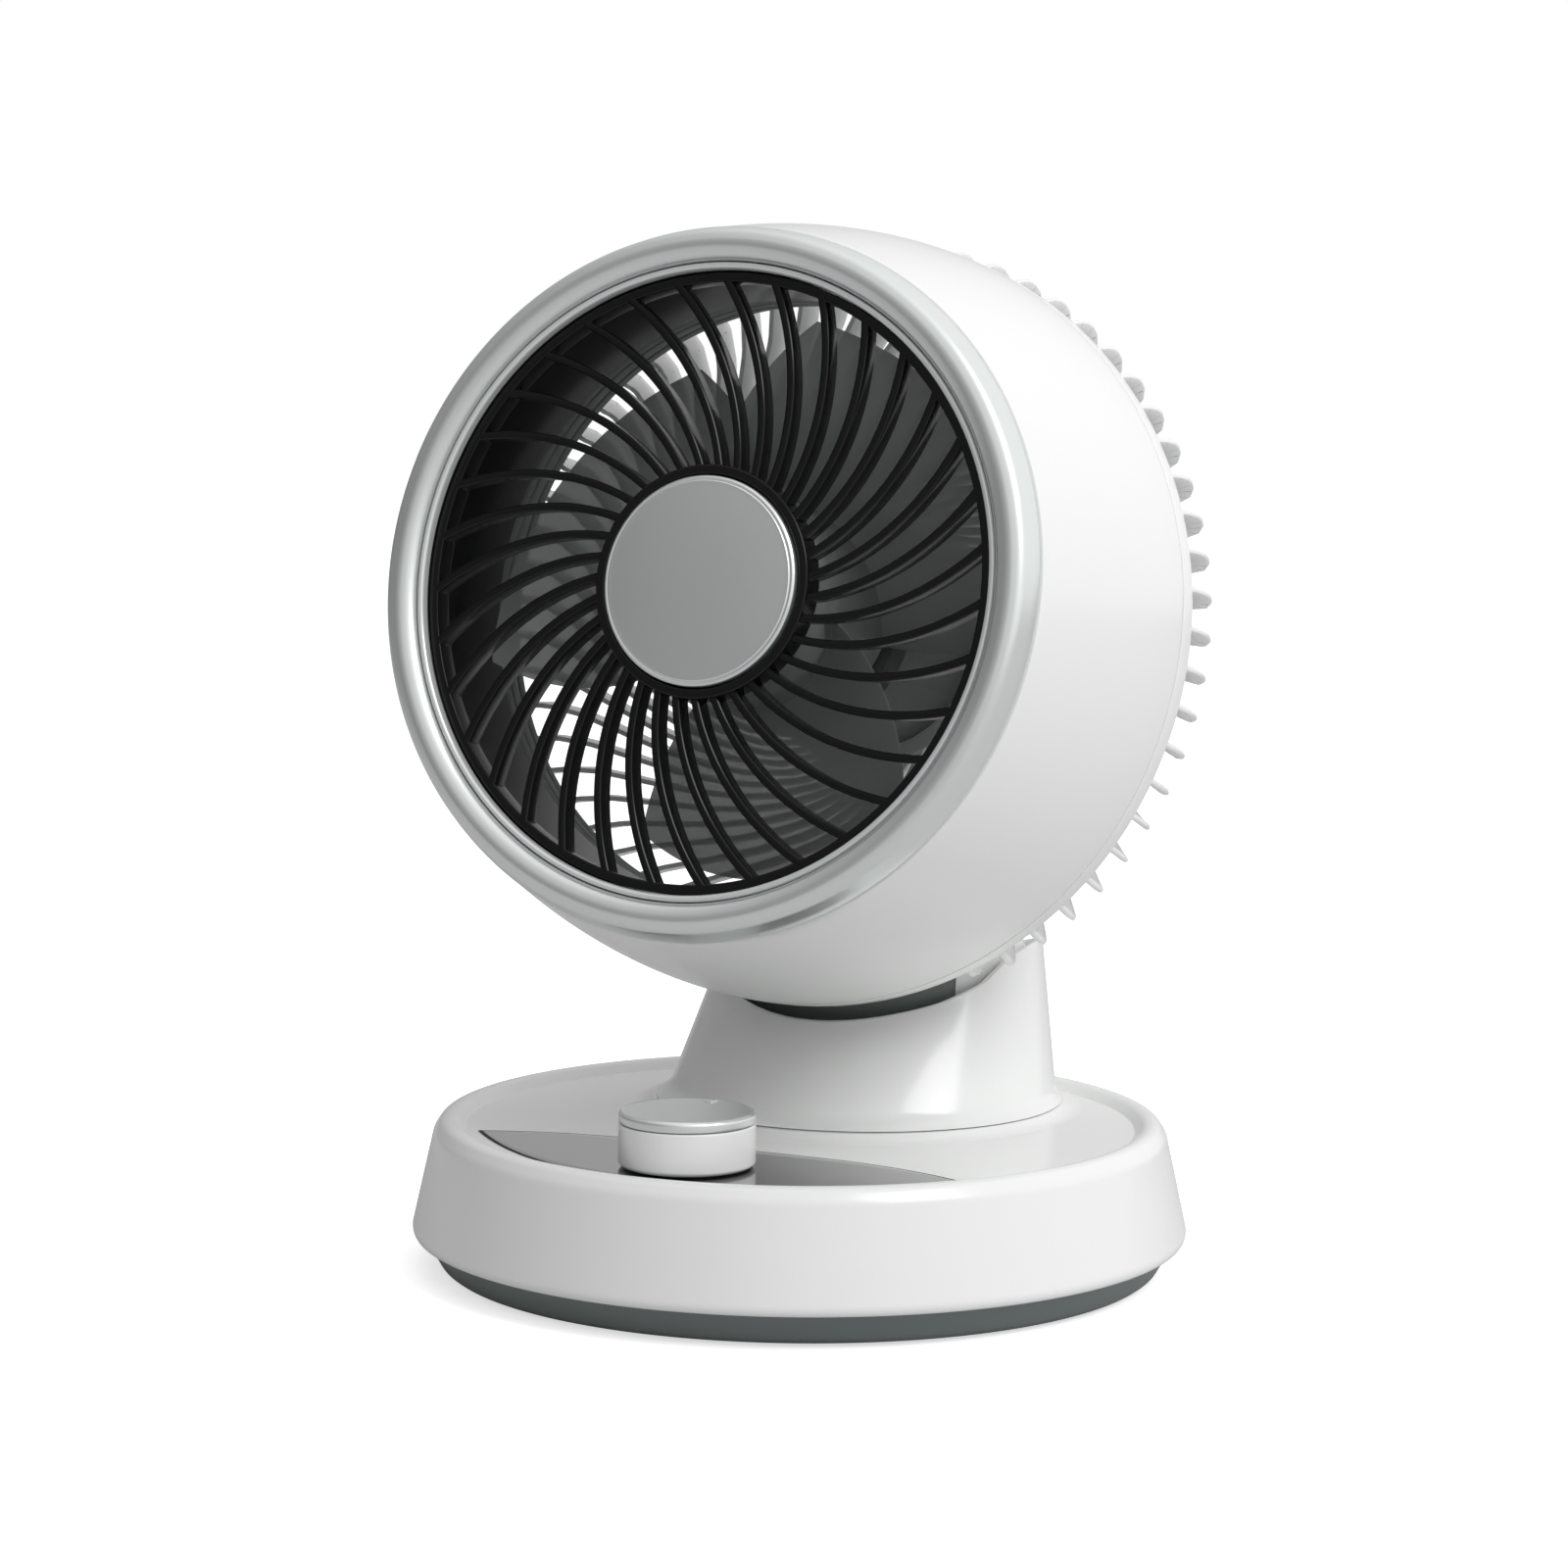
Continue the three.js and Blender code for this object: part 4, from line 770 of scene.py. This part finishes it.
# ---------------------------------------------------------------- neck
class MakeNeck(bpy.types.Operator):
    """Tapering neck whose upper edge follows the head's sweep"""

    bl_idname = "circulator.make_neck"
    bl_label = "Neck"

    def section(self, height, inset, turn):
        """An oval that narrows evenly with height and flares at the very bottom."""
        s = (height - NECK_BOTTOM) / (NECK_TOP - NECK_BOTTOM)
        flare = (np.clip(FLARE_TOP - height, 0, None) / FLARE_HEIGHT) ** FLARE_POWER * FLARE_REACH
        wide, deep, centre = (foot + change * s + share * flare
                              for foot, change, share in NECK_OVAL)
        x = (wide - inset) * np.cos(turn)
        y = centre + (deep - inset) * np.sin(turn)
        return np.stack(np.broadcast_arrays(x, y, height), axis=-1) * MM

    def execute(self, context):
        """Up the outside to the cradle's edge, over a round lip and down the inside."""
        turn = ring_angles(320)
        start = NECK_BOTTOM + 6 + 0 * turn
        top = NECK_TOP + 0 * turn
        outer_top, inner_top = (
            crossing(lambda z: within(CRADLE, self.section(z, inset, turn)), start, top) - LIP_RISE
            for inset in (0.0, NECK_WALL))
        foot = np.linspace(NECK_BOTTOM, FLARE_TOP, 12)[:, None] + 0 * turn
        share = np.linspace(0, 1, 44)[1:, None]
        up = np.concatenate([foot, FLARE_TOP + (outer_top - FLARE_TOP) * share])
        share = np.linspace(1, 0, 24)[:, None]
        down = NECK_INSIDE_FOOT + (inner_top - NECK_INSIDE_FOOT) * share
        outside = self.section(up, 0.0, turn)
        inside = self.section(down, NECK_WALL, turn)
        q = np.linspace(0, math.pi, 9)[1:-1, None, None]
        middle = (outside[-1] + inside[0]) / 2
        lip = middle + (outside[-1] - middle) * np.cos(q)
        lip = lip + np.array([0, 0, LIP_RISE * MM]) * np.sin(q)
        floor = self.section(NECK_BOTTOM + 0 * turn, NECK_WALL, turn)[None]
        skin = np.concatenate([outside, lip, inside, floor])
        add_piece("neck_skin", [surface(skin, wrap_rows=True)], "neck", "white_gloss",
                  ["neck_shell"])
        return {"FINISHED"}


# ---------------------------------------------------------------- base
class MakeBase(bpy.types.Operator):
    """Base shell with its dished top, raised rim, landing and flat for the inlet"""

    bl_idname = "circulator.make_base"
    bl_label = "Base shell"

    def landing(self, x, y):
        """Height of the dish, raised to the landing by the power of the way in from its foot,
        so that the slope carries on the flare of the neck."""
        away = np.hypot(x, y - NECK_Y / MM)
        inner, outer = LANDING_RADII
        rise = np.clip((outer - away) / (outer - inner), 0, 1) ** 2.2
        return DISH_HEIGHT + (LANDING_HEIGHT - DISH_HEIGHT) * rise

    def execute(self, context):
        """Straight rows from the sleeve hole to the rim, then the rim's outline carried round,
        under the edge, up the inside and back below the dish to the hole. Columns lie on both
        sides of each edge of the inlet's flat."""
        flat = math.asin(INLET_LAND[0] / SHELL_RADIUS_AT_LAND)
        edges = math.pi / 2 + flat * np.array([-1.01, -0.99, 0.99, 1.01])
        turn = np.sort(np.concatenate([ring_angles(320), edges]))
        direction = np.stack([np.cos(turn), np.sin(turn)], axis=-1)
        edge = densified(rounded(SHELL_EDGE, 1.2, closed=False, steps=5), 1.6)
        neck = np.array([0, NECK_Y / MM])
        ray = edge[0, 0] * direction - neck
        reach = np.linalg.norm(ray, axis=-1)
        ray /= reach[:, None]
        hole = neck + SLEEVE_HOLE * ray
        near = np.concatenate([np.linspace(SLEEVE_HOLE, LANDING_ROWS[0], 8)[:-1],
                               np.linspace(*LANDING_ROWS, 22)])
        scale = np.minimum(1, (reach - 1) / (LANDING_ROWS[1] + 2))
        away = near[:, None] * scale
        away[0] = SLEEVE_HOLE
        far = away[-1] + (reach - away[-1]) * np.linspace(0, 1, 20)[1:-1, None]
        away = np.concatenate([away, far])
        dish = neck + away[..., None] * ray
        dish_z = self.landing(dish[..., 0], dish[..., 1])
        outline = edge[:, :1, None] * direction
        outline_z = edge[:, 1:] + 0 * turn
        crest = (edge[:, :1] < RIM_CREST) & (edge[:, 1:] > DISH_HEIGHT - 1)
        raised = self.landing(outline[..., 0], outline[..., 1])
        outline_z = np.where(crest, np.maximum(outline_z, raised), outline_z)
        land = (np.abs(outline[..., 0]) < INLET_LAND[0]) & (outline[..., 1] > 0)
        land &= np.abs(outline_z - INLET_HEIGHT) < INLET_LAND[0]
        outline[..., 1] = np.where(land, np.minimum(outline[..., 1], INLET_LAND[1]),
                                   outline[..., 1])
        under = outline[-1] + (hole - outline[-1]) * np.linspace(0, 1, 6)[1:, None, None]
        plan = np.concatenate([dish, outline, under])
        height = np.concatenate([dish_z, outline_z, np.full(under.shape[:-1], CEILING)])
        skin = np.concatenate([plan, height[..., None]], axis=-1) * MM
        add_piece("base_skin", [surface(skin, wrap_rows=True)], "base", "white_gloss",
                  ["base_shell"])
        return {"FINISHED"}


class MakeTray(bpy.types.Operator):
    """Dark tray under the shell, with pockets for its screws, and the rubber feet"""

    bl_idname = "circulator.make_tray"
    bl_label = "Tray and feet"

    def execute(self, context):
        """The tray's outline turned about the middle, with a round pocket over each screw."""
        outline = rounded(TRAY, 0.8, closed=False)
        underside = 1.5
        radii = np.concatenate([np.linspace(0, 66, 12), np.linspace(67, 77, 34), [80, 95, 108.5]])
        bottom = np.stack([radii, np.full(len(radii), outline[1, 1])], axis=1)
        rest = outline[outline[:, 0] > 108.7]
        profile = np.concatenate([bottom, rest, [TRAY[-1]]])
        points = pocketed(profile, 240, np.linspace(-3.3, 3.3, 27), lambda z: z < underside,
                          **TRAY_SCREWS)
        add_piece("tray_skin", [surface(np.stack(points, axis=-1) * MM)], "base", "dark_grey",
                  ["base_plate"])
        pad = turned_upright(rounded(FOOT, 0.4, closed=False), 0.0, 64)
        places = [np.cos(FOOT_ANGLES), np.sin(FOOT_ANGLES), 0 * FOOT_ANGLES]
        pads = pad + (np.stack(places, axis=-1) * FOOT_REACH * MM)[:, None, None, :]
        add_piece("foot_pads", [surface(pads)], "base", "rubber",
                  ["foot_1", "foot_2", "foot_3", "foot_4"])
        return {"FINISHED"}


class MakePanel(bpy.types.Operator):
    """Leaf-shaped gloss panel let into the dish"""

    bl_idname = "circulator.make_panel"
    bl_label = "Control panel"

    def edges(self, half_width, grow, t):
        """Back and front edge as two mirrored curves each: cubic in t from tip to middle."""
        w = half_width / MM + 3 * grow
        s = t[:, None]
        made = []
        for middle, near, pull, far in ((PANEL_BACK + grow, 0.62, 3, 0.3),
                                        (PANEL_FRONT - grow, 0.72, 17, 0.4)):
            a, b, c, d = np.array([[(-w, PANEL_TIP)], [(-near * w, middle + pull)],
                                   [(-far * w, middle)], [(0, middle)]])
            left = ((1 - s) ** 3 * a + 3 * s * (1 - s) ** 2 * b + 3 * s**2 * (1 - s) * c
                    + s**3 * d)
            right = left[-2::-1] * np.array([-1, 1])
            made.append(np.concatenate([left, right]))
        return made

    def at_height(self, line, height):
        """A line of the plan, put at one height."""
        return np.column_stack([line, np.full(len(line), height)])

    def execute(self, context):
        """Columns go round a section from front to back; rows go from tip to tip."""
        width = context.scene.circulator_sizes.panel_width
        t = (1 - np.cos(np.linspace(0, math.pi, 50))) / 2
        side = ((0.0, PANEL_SEAT), (0.0, PANEL_FACE - 0.1), (-0.25, PANEL_FACE))
        front_side, back_side = (
            [self.at_height(self.edges(width, grow, t)[end], height) for grow, height in side]
            for end in (1, 0))
        back, front = self.edges(width, side[-1][0], t)
        face = [self.at_height(front + (back - front) * share, PANEL_FACE)
                for share in np.linspace(0, 1, 14)[1:-1]]
        leaf = np.stack(front_side + face + back_side[::-1], axis=1) * MM
        border = []
        for grow, height in ((0.0, PANEL_SEAT), (0.5, PANEL_SEAT), (0.5, 43.95), (0.0, 43.95)):
            back, front = self.edges(width, grow, t)
            border.append(self.at_height(np.concatenate([front, back[-2:0:-1]]), height))
        add_piece("panel_border", [surface(np.stack(border) * MM, wrap_rows=True)], "base",
                  "black_gloss", look="rubber")
        add_piece("panel_leaf", [surface(leaf)], "base", "black_gloss", ["control_panel"])
        return {"FINISHED"}


class MakeKnob(bpy.types.Operator):
    """Speed knob with its satin cap and pointer bar"""

    bl_idname = "circulator.make_knob"
    bl_label = "Speed knob"

    def execute(self, context):
        """Body and cap are turned outlines; the pointer is a rounded bar near the cap's edge."""
        body = turned_upright(rounded(KNOB_BODY, 0.5, closed=False), KNOB_Y, 160)
        add_piece("knob_body", [surface(body)], "knob", "white_gloss", ["speed_knob"])
        cap = turned_upright(rounded(KNOB_CAP, 0.4, closed=False), KNOB_Y, 160)
        add_piece("knob_face", [surface(cap)], "knob", "satin_silver", ["knob_cap"])
        low, high = np.array(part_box("knob_pointer"))
        centre = (low + high) / 2
        half = (high - low) / 2
        t = ring_angles(48)
        power = 0.35
        rim = np.stack([np.sign(np.cos(t)) * np.abs(np.cos(t)) ** power * half[0],
                        np.sign(np.sin(t)) * np.abs(np.sin(t)) ** power * half[1], 0 * t], -1)
        rows = [(0.0, -1.0), (1.0, -1.0), (1.0, 0.9), (0.9, 1.15), (0.0, 1.25)]
        bar = np.stack([centre + rim * size + np.array([0, 0, half[2] * rise])
                        for size, rise in rows])
        add_piece("knob_mark", [surface(bar)], "knob", "white_gloss", ["knob_pointer"],
                  look="bright_lip")
        return {"FINISHED"}


class MakeInlet(bpy.types.Operator):
    """Power inlet at the back of the base"""

    bl_idname = "circulator.make_inlet"
    bl_label = "Power inlet"

    def turned_back(self, profile):
        """A (radius, y) outline turned about a level axis at the inlet's height."""
        right, up, y = turned(rounded(profile, 0.3, closed=False), 96)
        return np.stack([right, y, INLET_HEIGHT * MM + up], axis=-1)

    def execute(self, context):
        """The socket and its centre pin are turned outlines."""
        add_piece("inlet_socket", [surface(self.turned_back(INLET))], "base", "black_satin",
                  ["power_inlet"])
        add_piece("inlet_pin", [surface(self.turned_back(INLET_PIN))], "base", "steel")
        return {"FINISHED"}


class FinishMechanism(bpy.types.Operator):
    """Finishes for the construction pieces that are used as they are"""

    bl_idname = "circulator.finish_mechanism"
    bl_label = "Mechanism finishes"

    def execute(self, context):
        """Each node that stays gets the finish of its own slot."""
        kinds = {
            "steel": ["base_screw", "guard_screw", "motor_screw", "tilt_pin", "motor_shaft",
                      "motor_output_shaft", "switch_shaft"],
            "zinc": ["tilt_yoke", "oscillation_motor", "rotary_switch"],
            "inner_white": ["turntable", "oscillation_gear", "oscillation_pinion"],
            "rubber": ["friction_washer"],
            "dark_grey": ["fan_motor"],
            "black_satin": ["impeller_nut"],
            "board_green": ["control_board"],
        }
        for name, node in frame["nodes"].items():
            slots = [slot for slot, starts in kinds.items() if name.startswith(tuple(starts))]
            if slots and node.material_slots:
                node.material_slots[0].material = finish(slots[0])
        return {"FINISHED"}


# ---------------------------------------------------------------- studio
class MakeStudio(bpy.types.Operator):
    """Floor, light and camera"""

    bl_idname = "circulator.make_studio"
    bl_label = "Studio"

    def floor(self):
        """A level plane that shows white where it is lit and keeps the fan's shadow."""
        mesh = bpy.data.meshes.new("studio_floor")
        corners = [(x * FLOOR_REACH, y * FLOOR_REACH, 0)
                   for x, y in ((-1, -1), (1, -1), (1, 1), (-1, 1))]
        mesh.from_pydata(corners, [], [(0, 1, 2, 3)])
        floor = bpy.data.objects.new("studio_floor", mesh)
        bpy.context.scene.collection.objects.link(floor)
        material = bpy.data.materials.new("studio_floor")
        material.use_nodes = True
        nodes, links = material.node_tree.nodes, material.node_tree.links
        nodes.remove(nodes["Principled BSDF"])
        matt = add_node(nodes, "ShaderNodeBsdfDiffuse", Color=FLOOR_SHADE)
        seen = add_node(nodes, "ShaderNodeBsdfDiffuse", Color=SEEN_SHADE)
        glow = add_node(nodes, "ShaderNodeEmission", Strength=FLOOR_GLOW)
        both = nodes.new("ShaderNodeAddShader")
        links.new(seen.outputs[0], both.inputs[0])
        links.new(glow.outputs[0], both.inputs[1])
        choose = nodes.new("ShaderNodeMixShader")
        links.new(nodes.new("ShaderNodeLightPath").outputs["Is Camera Ray"], choose.inputs[0])
        links.new(matt.outputs[0], choose.inputs[1])
        links.new(both.outputs[0], choose.inputs[2])
        links.new(choose.outputs[0], nodes["Material Output"].inputs["Surface"])
        mesh.materials.append(material)

    def world(self, ambient):
        """White to the camera; on the fan, a soft light that is stronger on the right and
        above, and weaker from the front left, as in a tent with a dark mouth."""
        world = bpy.data.worlds.new("studio_air")
        world.use_nodes = True
        nodes, links = world.node_tree.nodes, world.node_tree.links
        heading = nodes.new("ShaderNodeTexCoord").outputs["Generated"]
        path = nodes.new("ShaderNodeLightPath")

        def toward(direction, start, end, low, high):
            """A smooth change from low to high as the heading's cosine goes start to end."""
            cosine = nodes.new("ShaderNodeVectorMath")
            cosine.operation = "DOT_PRODUCT"
            cosine.inputs[1].default_value = Vector(direction).normalized()
            links.new(heading, cosine.inputs[0])
            ease = nodes.new("ShaderNodeMapRange")
            ease.interpolation_type = "SMOOTHSTEP"
            for socket, value in zip(ease.inputs[1:5], (start, end, low, high)):
                socket.default_value = value
            links.new(cosine.outputs["Value"], ease.inputs[0])
            return ease.outputs[0]

        def combined(operation, first, second):
            """One arithmetic node; a plain number is set on its socket."""
            node = nodes.new("ShaderNodeMath")
            node.operation = operation
            for socket, value in zip(node.inputs, (first, second)):
                if isinstance(value, float):
                    socket.default_value = value
                else:
                    links.new(value, socket)
            return node.outputs[0]

        side = toward((0.8, 0.2, 0.56), start=-0.75, end=0.7, low=0.2, high=1.0)
        mouth = toward((-0.34, -0.88, 0.34), start=0.8, end=0.998, low=1.0, high=0.42)
        shape = combined("MULTIPLY", side, mouth)
        level = combined("MULTIPLY", shape, ambient)
        mirrored = combined("MULTIPLY", shape, path.outputs["Is Glossy Ray"])
        soft = combined("MAXIMUM", level, mirrored)
        seen = combined("MAXIMUM", path.outputs["Is Camera Ray"],
                        path.outputs["Is Transmission Ray"])
        light = nodes["Background"]
        light.inputs["Color"].default_value = (1, 1, 1, 1)
        links.new(combined("MAXIMUM", soft, seen), light.inputs["Strength"])
        bpy.context.scene.world = world

    def lamp(self, name, place, size, power):
        """A square soft light that faces the fan's middle."""
        data = bpy.data.lights.new(name, "AREA")
        data.size = size
        data.energy = power
        lamp = bpy.data.objects.new(name, data)
        lamp.location = place
        aim = Vector(LAMP_AIM) - Vector(place)
        lamp.rotation_euler = aim.to_track_quat("-Z", "Y").to_euler()
        bpy.context.scene.collection.objects.link(lamp)

    def camera(self, studio):
        """The camera looks at the aim point from its azimuth and elevation, with a slight roll."""
        az, el = studio.azimuth, studio.elevation
        back = Vector((math.sin(az) * math.cos(el), -math.cos(az) * math.cos(el), math.sin(el)))
        right = Vector((math.cos(az), math.sin(az), 0))
        up = back.cross(right)
        aim = Vector((0, 0, studio.aim_height)) + studio.aim_right * right + studio.aim_up * up
        tilted_right = right * math.cos(studio.roll) + up * math.sin(studio.roll)
        tilted_up = up * math.cos(studio.roll) - right * math.sin(studio.roll)
        data = bpy.data.cameras.new("studio_camera")
        data.sensor_width = SENSOR_WIDTH
        data.lens = studio.focal_width * SENSOR_WIDTH
        camera = bpy.data.objects.new("studio_camera", data)
        axes = Matrix((tilted_right, tilted_up, back)).transposed().to_4x4()
        camera.matrix_world = Matrix.Translation(aim + back * studio.distance) @ axes
        bpy.context.scene.collection.objects.link(camera)
        bpy.context.scene.camera = camera

    def execute(self, context):
        """Plain even light with a soft key from the right and above."""
        studio = context.scene.circulator_studio
        context.scene.view_settings.view_transform = "Standard"
        self.floor()
        self.world(float(studio.ambient))
        self.lamp("key_light", (1.5, -0.6, 1.6), size=1.0, power=studio.key_power)
        self.lamp("front_light", (-0.6, -1.8, 0.9), size=1.4, power=studio.fill_power)
        self.camera(studio)
        return {"FINISHED"}


STEPS = (MakeDrum, MakeBezel, MakeDuct, MakeGrille, MakeRearGuard, MakeImpeller, MakeTail,
         MakeNeck, MakeBase, MakeTray, MakePanel, MakeKnob, MakeInlet, FinishMechanism, MakeStudio)


class CirculatorPanel(bpy.types.Panel):
    """Lists the fan's settings and the steps that make it"""

    bl_idname = "VIEW3D_PT_air_circulator"
    bl_label = "Air Circulator"
    bl_space_type = "VIEW_3D"
    bl_region_type = "UI"
    bl_category = "Air Circulator"

    def draw(self, context):
        """Every step as a button, then every setting."""
        for step in STEPS:
            self.layout.operator(step.bl_idname)
        for group in (context.scene.circulator_sizes, context.scene.circulator_colours,
                      context.scene.circulator_studio):
            for name in group.__annotations__:
                self.layout.prop(group, name)


CLASSES = (CirculatorSizes, CirculatorColours, StudioSettings, *STEPS, CirculatorPanel)


def register():
    """Registers the classes and hangs the settings on the scene."""
    for item in CLASSES:
        bpy.utils.register_class(item)
    bpy.types.Scene.circulator_sizes = PointerProperty(type=CirculatorSizes)
    bpy.types.Scene.circulator_colours = PointerProperty(type=CirculatorColours)
    bpy.types.Scene.circulator_studio = PointerProperty(type=StudioSettings)


def unregister():
    """Takes the settings and classes away again."""
    del bpy.types.Scene.circulator_studio
    del bpy.types.Scene.circulator_colours
    del bpy.types.Scene.circulator_sizes
    for item in reversed(CLASSES):
        bpy.utils.unregister_class(item)


def main():
    register()
    for step in STEPS:
        group, name = step.bl_idname.split(".")
        getattr(getattr(bpy.ops, group), name)()
    bpy.context.view_layer.update()


if __name__ == "__main__":
    main()
